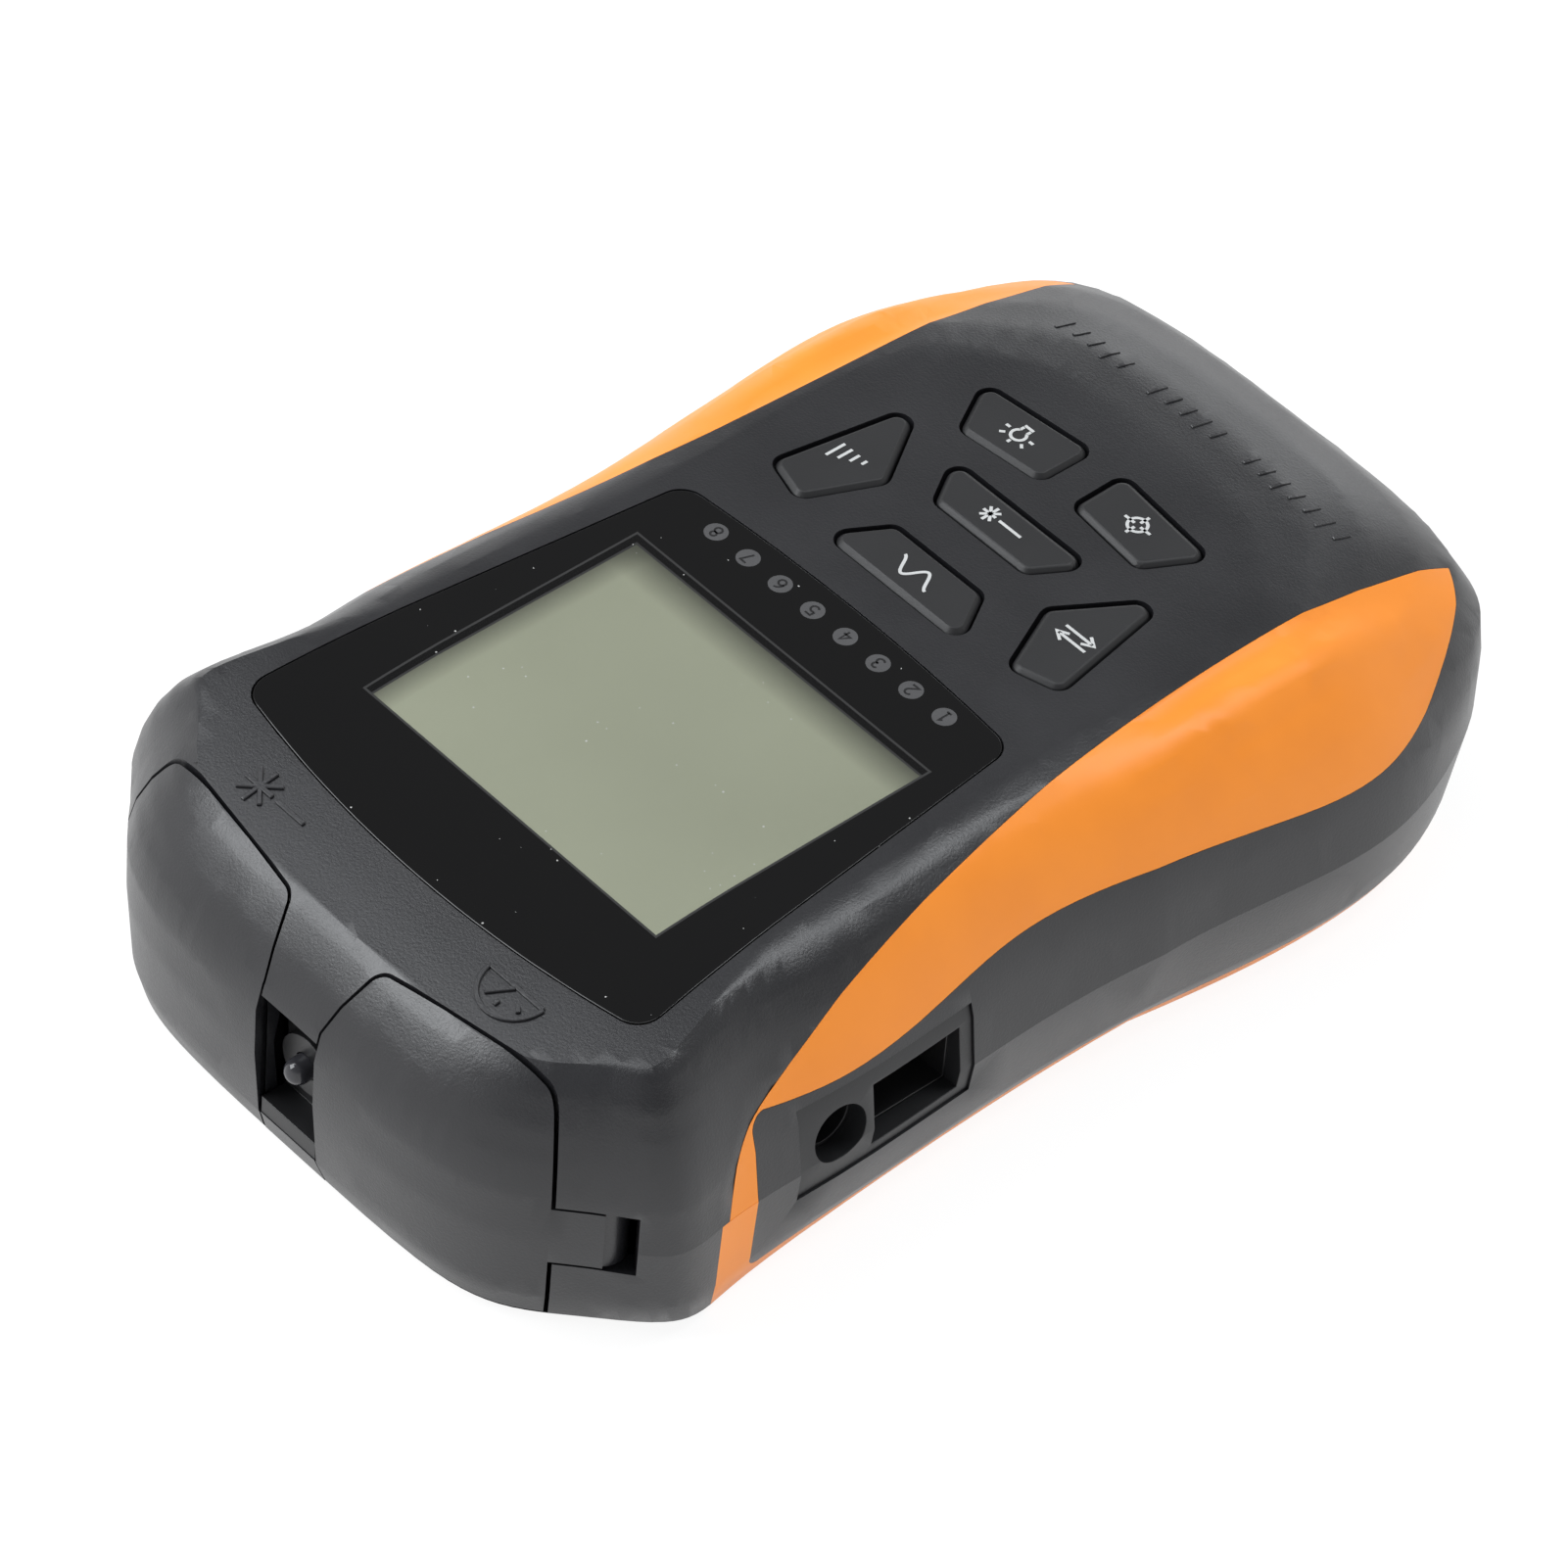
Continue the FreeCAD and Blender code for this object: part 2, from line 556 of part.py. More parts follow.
def grip_region(side):
    """All that lies outside the grip's inner edge and above its sill."""
    seam = Part.BSplineCurve()
    seam.interpolate([V(side * x, y, 0) for x, y in GRIP_EDGE])
    far, near = V(side * OUTSIDE, GRIP_EDGE[-1][1], 0), V(side * OUTSIDE, BAND[1], 0)
    first, last = V(side * GRIP_EDGE[0][0], near.y, 0), V(side * GRIP_EDGE[-1][0], far.y, 0)
    lines = [Part.LineSegment(a, b).toShape() for a, b in ((last, far), (far, near), (near, first))]
    plan = Part.Face(Part.Wire([seam.toShape()] + lines)).extrude(V(0, 0, TOP_Z + 5))
    bend = [V(0, BAND[0], SILL_CORNER - ROUND),
            V(0, BAND[0] - ROUND * (1 - DIAGONAL), SILL_CORNER - ROUND * (1 - DIAGONAL)),
            V(0, BAND[0] - ROUND, SILL_CORNER)]
    sweep = Part.BSplineCurve()
    sweep.interpolate([bend[2]] + [V(0, y, z) for y, z in GRIP_SILL])
    end = GRIP_SILL[-1][0]
    corners = (V(0, *GRIP_SILL[-1]), V(0, end, TOP_Z + 5), V(0, BAND[1], TOP_Z + 5), V(0, BAND[1], PART_Z),
               V(0, BAND[0], PART_Z), bend[0])
    profile = side_profile([Part.Arc(*bend), sweep], corners).extrude(V(side * OUTSIDE, 0, 0))
    return plan.common(profile)


def lower_grip_region(side):
    """The band below the upper grip, and the strip that it joins along the bottom edge."""
    low, end = mm("grip_low_edge"), mm("grip_strip_end") - HALF
    bend = [V(0, BAND[0], low + ROUND),
            V(0, BAND[0] - ROUND * (1 - DIAGONAL), low + ROUND * (1 - DIAGONAL)),
            V(0, BAND[0] - ROUND, low)]
    corners = (bend[2], V(0, end, low), V(0, end, -1), V(0, BAND[1], -1), V(0, BAND[1], PART_Z),
               V(0, BAND[0], PART_Z), bend[0])
    inner = mm("grip_band_inner")
    region = side_profile([Part.Arc(*bend)], corners).extrude(V(OUTSIDE - inner, 0, 0))
    region.translate(V(inner, 0, 0))
    if side < 0:
        region = region.mirror(V(), V(1, 0, 0))
    return region


UPPER_CORE = upper_form(mm("grip_depth"))
LOWER_CORE = lower_form(mm("grip_depth"))
upper_grips = {}
lower_grips = {}
for side, name in ((-1, "left"), (1, "right")):
    upper_grips[name] = UPPER.common(grip_region(side)).cut(UPPER_CORE)
    lower_grips[name] = LOWER.common(lower_grip_region(side)).cut(LOWER_CORE)
    node(raw(name + "_upper_grip", upper_grips[name]), name + "_upper_grip")
    node(raw(name + "_lower_grip", lower_grips[name]), name + "_lower_grip")

# ---------------------------------------------------------------- window, display and light guide
def window_outline(gap, low, high):
    """The window's plan: straight converging sides, bowed ends, rounded corners."""
    port, far = WINDOW_PORT_HALF.value + gap, WINDOW_FAR_HALF.value + gap
    port_y, far_y = WINDOW_PORT_Y.value + gap, mm("window_far_y") - gap
    port_side, far_side = port_y - mm("window_port_bow"), far_y + mm("window_far_bow")
    corners = [V(x, y, low) for x, y in ((port, port_side), (-port, port_side), (-far, far_side),
                                         (far, far_side))]
    edges = [Part.Arc(corners[0], V(0, port_y, low), corners[1]).toShape(),
             Part.LineSegment(corners[1], corners[2]).toShape(),
             Part.Arc(corners[2], V(0, far_y, low), corners[3]).toShape(),
             Part.LineSegment(corners[3], corners[0]).toShape()]
    solid = Part.Face(Part.Wire(edges)).extrude(V(0, 0, high - low))
    upright = [e for e in solid.Edges if abs(e.tangentAt(e.FirstParameter).z) > 0.99]
    return solid.makeFillet(mm("window_corner"), upright)


WINDOW_UNDER = TOP_Z - mm("window_thick")
window_space = window_outline(mm("window_gap"), WINDOW_UNDER, TOP_Z + 5)
window_body = window_outline(0.0, WINDOW_UNDER - 3, TOP_Z + 5).common(UPPER)
window_seat = UPPER.copy()
window_seat.translate(V(0, 0, -mm("window_thick")))
node(raw("display_window", window_body.cut(window_seat)), "display_window")
window_pocket = window_outline(mm("window_gap"), WINDOW_UNDER - 3, TOP_Z + 5).cut(window_seat)

LCD_X = (-s("lcd_view_width") / 2 - s("lcd_margin"), s("lcd_view_width") / 2 + s("lcd_margin"))
LCD_Y = (s("lcd_centre_y") - s("lcd_view_length") / 2 - s("lcd_margin"),
         s("lcd_centre_y") + s("lcd_view_length") / 2 + s("lcd_margin"))
LCD_TOP = s("body_height") - s("window_thick") - s("window_ledge")
LCD_UNDER = LCD_TOP - s("lcd_thick")
node(plate("lcd_panel", LCD_UNDER, s("lcd_thick"), rectangle(LCD_X, LCD_Y)), "lcd_panel")
node(plate("backlight_panel", BOARD_TOP, LCD_UNDER - BOARD_TOP, rectangle(LCD_X, LCD_Y)),
     "backlight_panel")
EDGE = s("frame_gap") + s("frame_wall")
frame_block = box("lcd_frame_block", (LCD_X[0] - EDGE, LCD_X[1] + EDGE), (LCD_Y[0] - EDGE, LCD_Y[1] + EDGE),
                  (BOARD_TOP, LCD_TOP - s("frame_step")))
frame_hole = box("lcd_frame_hole", (LCD_X[0] - s("frame_gap"), LCD_X[1] + s("frame_gap")),
                 (LCD_Y[0] - s("frame_gap"), LCD_Y[1] + s("frame_gap")), (BOARD_TOP - 1, LCD_TOP + 1))
node(cut("lcd_frame", frame_block, frame_hole), "lcd_frame")

LAMP_X = [s("lamp_pitch") * (index - 3.5) for index in range(8)]
lamps = []
guides = []
for index, x in enumerate(LAMP_X):
    lamps.append(box("lamp_%d" % index, (x - 1.0, x + 1.0), (s("lamp_row_y") - 0.65, s("lamp_row_y") + 0.65),
                     (BOARD_TOP, BOARD_TOP + s("lamp_height"))))
    guides.append(post_prism("guide_%d" % index, s("guide_radius"), s("body_height") - s("window_thick")
                      - BOARD_TOP - s("lamp_height") - 0.2,
                      (x, s("lamp_row_y"), BOARD_TOP + s("lamp_height") + 0.2)))
node(group("tester_lamps", *lamps), "tester_lamps")
guide_bar = box("guide_bar", (LAMP_X[0] - 2.0, LAMP_X[7] + 2.0),
                (s("lamp_row_y") - 1.7, s("lamp_row_y") + 1.7), (LCD_TOP - 2.6, LCD_TOP - 0.2))
node(fuse("light_guide", guide_bar, *guides), "light_guide")

# ---------------------------------------------------------------- board, keypad mat and keys
BOARD_UNDER = BOARD_TOP - s("board_thick")
node(plate("main_board", BOARD_UNDER, s("board_thick"),
           rectangle((-s("board_half_width"), s("board_half_width")), (s("board_far_y"), BOARD_PORT_Y)),
           Size(2.0, "2.0")), "main_board")


def key_corners(shape, side, grow=None):
    """Corners of a key cap, moved out so that every side of the key lies grow further out."""
    corners = [(s("%s_x%s" % (shape, c)), s("%s_y%s" % (shape, c))) for c in "abcd"]
    if grow is None:
        moved = corners
    else:
        flat = [V(x.value, y.value, 0) for x, y in corners]
        moved = []
        for i, (x, y) in enumerate(corners):
            before = (flat[i] - flat[i - 1]).normalize()
            after = (flat[(i + 1) % 4] - flat[i]).normalize()
            step = (before - after) / before.cross(after).Length
            moved.append((x + grow * round(step.x, 3), y + grow * round(step.y, 3)))
    if side < 0:
        return [(-x, y) for x, y in moved][::-1]
    return moved


def middle_of(points):
    count = float(len(points))
    total_x, total_y = points[0]
    for x, y in points[1:]:
        total_x, total_y = total_x + x, total_y + y
    return total_x / count, total_y / count


ROOF_SIZE = s("body_height") - s("wall")
FLANGE_UNDER = ROOF_SIZE - s("key_flange_thick")
MAT_TOP = BOARD_TOP + s("mat_thick")
DOME_TOP = MAT_TOP + s("dome_height")
STEM_UNDER = DOME_TOP + s("key_travel") + s("dome_air")
key_holes = []
domes = []
for name, shape, side in KEYS:
    cap = plate(name + "_cap", FLANGE_UNDER, s("body_height") + s("key_proud") - FLANGE_UNDER,
                key_corners(shape, side), s("key_corner"))
    document.recompute()
    top_edges = ["Edge%d" % i for i, e in enumerate(cap.Shape.Edges, 1)
                 if min(v.Z for v in e.Vertexes) > TOP_Z]
    block_tip = cap.Tip
    soft_edge = cap.newObject("PartDesign::Chamfer", name + "_edge")
    soft_edge.Base = (block_tip, top_edges)
    bind(soft_edge, "Size", s("key_edge"))
    cap.Tip = soft_edge
    flange = plate(name + "_flange", FLANGE_UNDER, s("key_flange_thick"),
                   key_corners(shape, side, s("key_flange")))
    centre = middle_of(key_corners(shape, side))
    stem = post_prism(name + "_stem", s("key_stem_radius"), FLANGE_UNDER - STEM_UNDER,
               (centre[0], centre[1], STEM_UNDER))
    node(fuse(name, cap, flange, stem), name)
    opening = plate(name + "_opening", ROOF_SIZE - 2, s("wall") + 5,
                    key_corners(shape, side, s("key_gap")), s("key_corner") + s("key_gap"))
    key_holes.append(opening)
    domes.append(post_prism(name + "_dome", s("dome_radius"), s("dome_height"),
                            (centre[0], centre[1], MAT_TOP)))
mat_sheet = box("mat_sheet", (-s("side_key_xa") - 1.0, s("side_key_xa") + 1.0),
                (s("board_far_y") + 1.5, s("top_key_ya")), (BOARD_TOP, MAT_TOP))
node(fuse("keypad_mat", mat_sheet, *domes), "keypad_mat")
document.recompute()

# ---------------------------------------------------------------- screws and their posts
SCREWS = [(side * mm("screw_x"), y) for side in (1, -1) for y in (SCREW_PORT_Y.value, SCREW_FAR_Y.value)]
POST = mm("boss_radius")
HOLE = mm("screw_shank") + mm("screw_gap")
screw_set = []
for index, (x, y) in enumerate(SCREWS):
    at = (mirrored(s("screw_x"), x), SCREW_PORT_Y if y > 0 else SCREW_FAR_Y)
    shank = post_prism("screw_shank_%d" % index, s("screw_shank"), s("screw_length"),
                (at[0], at[1], s("screw_sink") + s("screw_head_height")))
    head = rod("screw_head_%d" % index, s("screw_head"), s("screw_head_height"),
               (at[0], at[1], s("screw_sink")))
    screw_set.append(fuse("screw_%d" % index, shank, head))
node(group("case_screws", *screw_set), "case_screws")

# ---------------------------------------------------------------- front shell
front = UPPER.cut(CAVITY_UP)
for x, y in SCREWS:
    front = front.fuse(post(x, y, PART_Z, ROOF + 0.5, POST).common(UPPER))
for side in (1, -1):
    top = mm("tab_top") + GAP
    boss = post(side * HINGE.x, HINGE.y, top, top + mm("boss_height"), mm("knuckle_radius"))
    front = front.fuse(boss.common(UPPER))
front_cuts = [window_pocket, RECESS, PANEL_BOX] + SLOTS + COVER_SPACES
LCD_GAP = mm("lcd_gap")
front_cuts.append(block((LCD_X[0].value - LCD_GAP, LCD_X[1].value + LCD_GAP),
                        (LCD_Y[0].value - LCD_GAP, LCD_Y[1].value + LCD_GAP), (ROOF - 2, TOP_Z)))
GUIDE_HALF = mm("guide_radius") + mm("guide_gap")
front_cuts.append(block((LAMP_X[0].value - GUIDE_HALF, LAMP_X[7].value + GUIDE_HALF),
                        (mm("lamp_row_y") - GUIDE_HALF, mm("lamp_row_y") + GUIDE_HALF), (ROOF - 2, TOP_Z)))
for x, y in SCREWS:
    front_cuts.append(post(x, y, PART_Z - 1, mm("screw_length") + 5, HOLE))
for side in (1, -1):
    pin_top = mm("tab_top") + GAP + mm("boss_height") - mm("pin_end")
    front_cuts.append(post(side * HINGE.x, HINGE.y, PART_Z - 1, pin_top, mm("pin_radius")))
front_cuts += [opening.Shape for opening in key_holes]
front_cuts += list(upper_grips.values())
front = front.cut(front_cuts)
node(raw("front_shell", front), "front_shell")

# ---------------------------------------------------------------- back shell, battery door and cells
DOOR = mm("door_half")
DOOR_GAP = mm("door_gap")
TONGUE = mm("tongue_width")
DOOR_Y = DOOR_PORT_Y.value
TRAY_TOP = WALL + 2 * mm("cell_radius") + 0.6
back = LOWER.cut(CAVITY_LOW)
for x, y in SCREWS:
    back = back.fuse(post(x, y, 0.5, PART_Z, POST).common(LOWER))
for side in (1, -1):
    low = mm("tab_bottom") - GAP
    boss = post(side * HINGE.x, HINGE.y, low - mm("boss_height"), low, mm("knuckle_radius"))
    back = back.fuse(boss.common(LOWER))
tray_out = DOOR + DOOR_GAP + TONGUE
tray = block((-tray_out, tray_out), (TRAY_FAR_Y.value - mm("tray_wall"), TRAY_PORT_Y.value + mm("tray_wall")),
             (1.0, TRAY_TOP + 1.2))
tray_room = block((-DOOR - DOOR_GAP, DOOR + DOOR_GAP), (TRAY_FAR_Y.value, TRAY_PORT_Y.value), (-1, TRAY_TOP))
back = back.fuse(tray.common(LOWER.fuse(UPPER))).cut(tray_room)
back_cuts = [RECESS, PANEL_BOX] + SLOTS + COVER_SPACES
back_cuts.append(block((-DOOR - DOOR_GAP, DOOR + DOOR_GAP), (-HALF - 5, DOOR_Y + DOOR_GAP),
                       (-1, mm("door_thick") + DOOR_GAP)))
back_cuts.append(block((-DOOR - TONGUE - DOOR_GAP, DOOR + TONGUE + DOOR_GAP), (-HALF - 5, DOOR_Y + DOOR_GAP),
                       (mm("tongue_bottom") - 0.2, mm("tongue_top") + 0.2)))
for x, y in SCREWS:
    back_cuts.append(post(x, y, -1, mm("screw_sink") + mm("screw_head_height"), mm("screw_head") + 0.2))
    back_cuts.append(post(x, y, 0, PART_Z + 1, HOLE))
for side in (1, -1):
    pin_foot = mm("tab_bottom") - GAP - mm("boss_height") + mm("pin_end")
    back_cuts.append(post(side * HINGE.x, HINGE.y, pin_foot, PART_Z + 1, mm("pin_radius")))
back_cuts += list(lower_grips.values())
back = back.cut(back_cuts)
node(raw("back_shell", back), "back_shell")

door = block((-DOOR, DOOR), (-HALF - 5, DOOR_Y), (0, mm("door_thick"))).common(LOWER)
tongues = block((-DOOR - TONGUE, DOOR + TONGUE), (-HALF + 9, DOOR_Y), (mm("tongue_bottom"), mm("tongue_top")))
ridges = [block((-9, 9), (-HALF + 12 + 2.2 * i, -HALF + 13.1 + 2.2 * i), (-0.1, 0.35)) for i in range(5)]
node(raw("battery_door", door.fuse(tongues).cut(ridges)), "battery_door")

CELL_Z = s("wall") + s("cell_radius") + 0.2
CELL_START = TRAY_FAR_Y + s("contact_plate") + s("spring_length")
plates = []
for index in range(3):
    x = s("cell_pitch") * (index - 1)
    tip = post_prism("cell_tip_%d" % index, s("cell_radius") * 0.38, Size(1.2, "1.2"),
              (x, CELL_START + s("cell_length") - 1.2, CELL_Z), "y")
    can = rod("cell_can_%d" % index, s("cell_radius"), s("cell_length") - 1.2, (x, CELL_START, CELL_Z), "y")
    node(fuse("cell_%d" % (index + 1), can, tip), "cell_%d" % (index + 1))
    spring = post_prism("spring_%d" % index, s("cell_radius") * 0.6, s("spring_length"),
                        (x, TRAY_FAR_Y + s("contact_plate"), CELL_Z), "y")
    back_plate = box("spring_plate_%d" % index, (x - 5.5, x + 5.5),
                     (TRAY_FAR_Y, TRAY_FAR_Y + s("contact_plate")), (CELL_Z - 5.5, CELL_Z + 5.5))
    plates.append(fuse("battery_spring_%d" % index, spring, back_plate))
node(group("battery_springs", *plates), "battery_springs")
studs = []
for index in range(3):
    x = s("cell_pitch") * (index - 1)
    studs.append(box("stud_plate_%d" % index, (x - 5.5, x + 5.5),
                     (CELL_START + s("cell_length"), TRAY_PORT_Y), (CELL_Z - 5.5, CELL_Z + 5.5)))
node(group("battery_contacts", *studs), "battery_contacts")

# ---------------------------------------------------------------- end plate, torch and the two ports
PORT_X = {"laser": s("port_x"), "meter": -s("port_x")}
plate_slab = block((-PLATE_HALF.value, PLATE_HALF.value),
                   (PLATE_FRONT.value - mm("plate_thick"), PLATE_FRONT.value), (0, TOP_Z))
plate_slab = plate_slab.common(CAVITY_UP.fuse(CAVITY_LOW))
HALF_BLOCK = mm("recess_half") - GAP
nose_block = block((-HALF_BLOCK, HALF_BLOCK), (PLATE_FRONT.value - 0.5, RECESS_BACK.value),
                   (mm("ledge_bottom"), mm("recess_top")))
ledge = block((-HALF_BLOCK, HALF_BLOCK), (RECESS_BACK.value - 0.5, LEDGE_FRONT.value),
              (mm("ledge_bottom"), mm("ledge_top")))
end_plate = plate_slab.fuse([nose_block, ledge]).removeSplitter()
for x, radius in ((mm("port_x"), mm("adapter_tail")), (-mm("port_x"), mm("adapter_tail")),
                  (0, mm("torch_radius") + mm("torch_gap"))):
    start = V(x, PLATE_FRONT.value - 10, mm("port_z"))
    end_plate = end_plate.cut(Part.makeCylinder(radius, 20, start, V(0, 1, 0)))
node(raw("end_plate", end_plate), "end_plate")

BEZEL_BACK = RECESS_BACK
bezel_disc = rod("bezel_disc", s("bezel_radius"), s("bezel_thick"), (0, BEZEL_BACK, s("port_z")), "y")
bezel_hole = rod("bezel_hole", s("torch_radius") + s("torch_gap"), s("bezel_thick") + 2,
                 (0, BEZEL_BACK - 1, s("port_z")), "y")
node(cut("torch_bezel", bezel_disc, bezel_hole), "torch_bezel")
torch_barrel = rod("torch_barrel", s("torch_radius"), s("torch_length"),
                   (0, TORCH_Y - s("torch_length"), s("port_z")), "y")
torch_dome = document.addObject("Part::Sphere", "torch_dome")
bind(torch_dome, "Radius", s("torch_radius"))
place(torch_dome, 0, TORCH_Y, s("port_z"))
node(fuse("torch_lamp", torch_barrel, torch_dome), "torch_lamp")

for name, x in PORT_X.items():
    tail = rod(name + "_adapter_tail", s("adapter_tail"), PLATE_FRONT - ADAPTER_BACK,
               (x, ADAPTER_BACK, s("port_z")), "y")
    collar = rod(name + "_adapter_collar", s("adapter_flange"), s("adapter_flange_thick"),
                 (x, PLATE_FRONT, s("port_z")), "y")
    barrel = rod(name + "_adapter_barrel", s("adapter_barrel"), ADAPTER_FRONT - PLATE_FRONT,
                 (x, PLATE_FRONT, s("port_z")), "y")
    bore = rod(name + "_adapter_bore", s("ferrule_bore"), ADAPTER_FRONT - ADAPTER_BACK + 2,
               (x, ADAPTER_BACK - 1, s("port_z")), "y")
    body = fuse(name + "_adapter_body", tail, collar, barrel)
    node(cut(name + "_adapter", body, bore), name + "_adapter")
node(rod("laser_module", s("laser_radius"), s("laser_length"),
         (PORT_X["laser"], ADAPTER_BACK - s("laser_length"), s("port_z")), "y"), "laser_module")
can = rod("detector_can", s("detector_radius"), s("detector_length"),
          (PORT_X["meter"], ADAPTER_BACK - s("detector_length"), s("port_z")), "y")
legs = [post_prism("detector_leg_%d" % i, Size(0.3, "0.3"), Size(6.0, "6.0"),
            (PORT_X["meter"] + dx, ADAPTER_BACK - s("detector_length") - 6, s("port_z") + dz), "y")
        for i, (dx, dz) in enumerate(((-1.3, -0.8), (1.3, -0.8), (0.0, 1.5)))]
node(fuse("detector", can, *legs), "detector")

# ---------------------------------------------------------------- port covers and their hinge pins
SKIN = mm("cover_wall")
INNER_FORM = upper_cavity(SKIN).fuse(lower_cavity(SKIN))
for name, side in (("laser", 1), ("meter", -1)):
    space = cover_space(side, 0.0)
    room = prism(cover_plan(side, 0.0, SKIN, 6.0), mm("cover_floor") + SKIN, TOP_Z + 5).common(INNER_FORM)
    shell = UPPER.common(space).fuse(LOWER.common(space)).removeSplitter().cut(room)
    tab_plan = hinge_plan(side, 6.6, 0.0, 9, mm("knuckle_radius"))
    tab = prism(tab_plan, mm("tab_bottom"), mm("tab_top")).common(UPPER.fuse(LOWER))
    knuckle = post(side * HINGE.x, HINGE.y, mm("tab_bottom"), mm("tab_top"), mm("knuckle_radius"))
    hole = post(side * HINGE.x, HINGE.y, 0, TOP_Z, mm("pin_radius") + mm("pin_gap"))
    node(raw(name + "_port_cover", shell.fuse([tab, knuckle]).cut(hole)), name + "_port_cover")
    reach = s("boss_height") + s("cover_gap") - s("pin_end")
    node(rod(name + "_hinge_pin", s("pin_radius"), s("tab_top") - s("tab_bottom") + reach * 2,
             (mirrored(HINGE_X, side), HINGE_Y, s("tab_bottom") - reach)), name + "_hinge_pin")

# ---------------------------------------------------------------- side panel, network socket, power jack
panel_skin = upper_form(mm("panel_inset")).fuse(lower_form(mm("panel_inset")))
panel = panel_skin.common(block((-OUTSIDE, -PANEL_INNER_X.value), PANEL_Y, PANEL_Z))
SIGHT = mm("mouth_gap")
half_mouth = mm("socket_mouth") / 2 + SIGHT
mouth = block((-OUTSIDE, 0), (mm("socket_y") - half_mouth, mm("socket_y") + half_mouth),
              (mm("socket_mouth_bottom") - SIGHT, mm("socket_mouth_top") + mm("latch_height") - SIGHT))
jack_way = Part.makeCylinder(mm("jack_hole"), OUTSIDE, V(-OUTSIDE, mm("jack_y"), mm("jack_z")), V(1, 0, 0))
node(raw("side_panel", panel.cut([mouth, jack_way])), "side_panel")

FACE = -PANEL_INNER_X
SOCKET_Y = (s("socket_y") - s("socket_width") / 2, s("socket_y") + s("socket_width") / 2)
SOCKET_Z = (s("socket_mouth_bottom") - 1.1, s("socket_mouth_top") + 2.4)
socket_front = box("socket_front", (FACE, FACE + s("socket_step")), SOCKET_Y, SOCKET_Z)
socket_back = box("socket_back", (FACE + s("socket_step"), FACE + s("socket_length")), SOCKET_Y,
                  (SOCKET_Z[0], BOARD_UNDER))
socket_block = fuse("socket_block", socket_front, socket_back)
MOUTH_Y = (s("socket_y") - s("socket_mouth") / 2, s("socket_y") + s("socket_mouth") / 2)
socket_mouth = box("socket_mouth_room", (FACE - 1, FACE + s("socket_depth")), MOUTH_Y,
                   (s("socket_mouth_bottom"), s("socket_mouth_top")))
latch = box("socket_latch", (FACE - 1, FACE + s("socket_depth")),
            (s("socket_y") - s("latch_width") / 2, s("socket_y") + s("latch_width") / 2),
            (s("socket_mouth_top") - 1, s("socket_mouth_top") + s("latch_height")))
node(cut("network_socket", socket_block, socket_mouth, latch), "network_socket")
contacts = []
for index in range(8):
    y = s("socket_y") + s("contact_pitch") * (index - 3.5)
    half = s("contact_width") / 2
    contacts.append(box("contact_%d" % index, (FACE + 4, FACE + s("socket_depth")), (y - half, y + half),
                        (s("socket_mouth_bottom"), s("socket_mouth_bottom") + 0.5)))
node(group("socket_contacts", *contacts), "socket_contacts")

jack_can = rod("jack_can", s("jack_radius"), s("jack_length"), (FACE, s("jack_y"), s("jack_z")), "x")
jack_bore = rod("jack_bore_room", s("jack_bore"), s("jack_depth") + 1,
                (FACE - 1, s("jack_y"), s("jack_z")), "x")
jack_pin = rod("jack_pin_rod", s("jack_pin"), s("jack_depth") - s("jack_pin_back") + 0.5,
               (FACE + s("jack_pin_back"), s("jack_y"), s("jack_z")), "x")
node(fuse("power_jack", cut("power_jack_can", jack_can, jack_bore), jack_pin), "power_jack")

# ---------------------------------------------------------------- check and write
document.recompute()
for thing in document.Objects:
    if "Invalid" in thing.State or "Error" in thing.State:
        raise RuntimeError("%s did not compute" % thing.Label)
names = [thing.Label for thing in NODES]
if len(set(names)) != len(names):
    raise RuntimeError("two sub-parts share a name")
for thing in NODES:
    if thing.Shape.isNull() or not thing.Shape.isValid():
        raise RuntimeError("%s has no valid shape" % thing.Label)
    if not thing.Shape.Solids:
        raise RuntimeError("%s has no solid" % thing.Label)
os.makedirs("parts", exist_ok=True)
for thing in NODES:
    thing.Shape.exportStep("parts/%s.step" % thing.Label)
    print("%-20s %2d solids %10.1f mm3" % (thing.Label, len(thing.Shape.Solids), thing.Shape.Volume))
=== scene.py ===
"""Looks of the handheld optical power meter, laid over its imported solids."""

import json
import math

import bmesh
import bpy
import numpy as np
from mathutils import Matrix, Vector


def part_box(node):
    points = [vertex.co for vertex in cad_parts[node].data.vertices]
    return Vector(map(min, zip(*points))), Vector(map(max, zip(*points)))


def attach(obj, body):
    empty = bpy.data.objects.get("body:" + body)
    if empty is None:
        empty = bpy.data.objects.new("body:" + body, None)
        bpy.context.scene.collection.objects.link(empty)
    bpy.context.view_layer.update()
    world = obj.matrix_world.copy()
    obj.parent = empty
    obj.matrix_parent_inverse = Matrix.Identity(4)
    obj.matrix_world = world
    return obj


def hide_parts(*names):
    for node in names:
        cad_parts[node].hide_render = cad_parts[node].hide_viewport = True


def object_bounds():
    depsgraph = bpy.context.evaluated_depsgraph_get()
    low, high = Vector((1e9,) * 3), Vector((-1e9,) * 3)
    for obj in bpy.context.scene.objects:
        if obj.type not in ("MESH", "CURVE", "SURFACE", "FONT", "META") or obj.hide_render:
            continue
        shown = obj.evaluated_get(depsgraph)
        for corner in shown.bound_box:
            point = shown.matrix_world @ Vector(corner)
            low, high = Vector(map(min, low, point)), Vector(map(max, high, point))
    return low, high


bl_info = {
    "name": "Optical power meter looks",
    "version": (1, 0, 0),
    "blender": (4, 5, 0),
    "location": "View3D > Sidebar > Power meter",
    "description": "Dresses a handheld optical power meter with finishes, markings and a plain studio",
    "category": "Object",
}

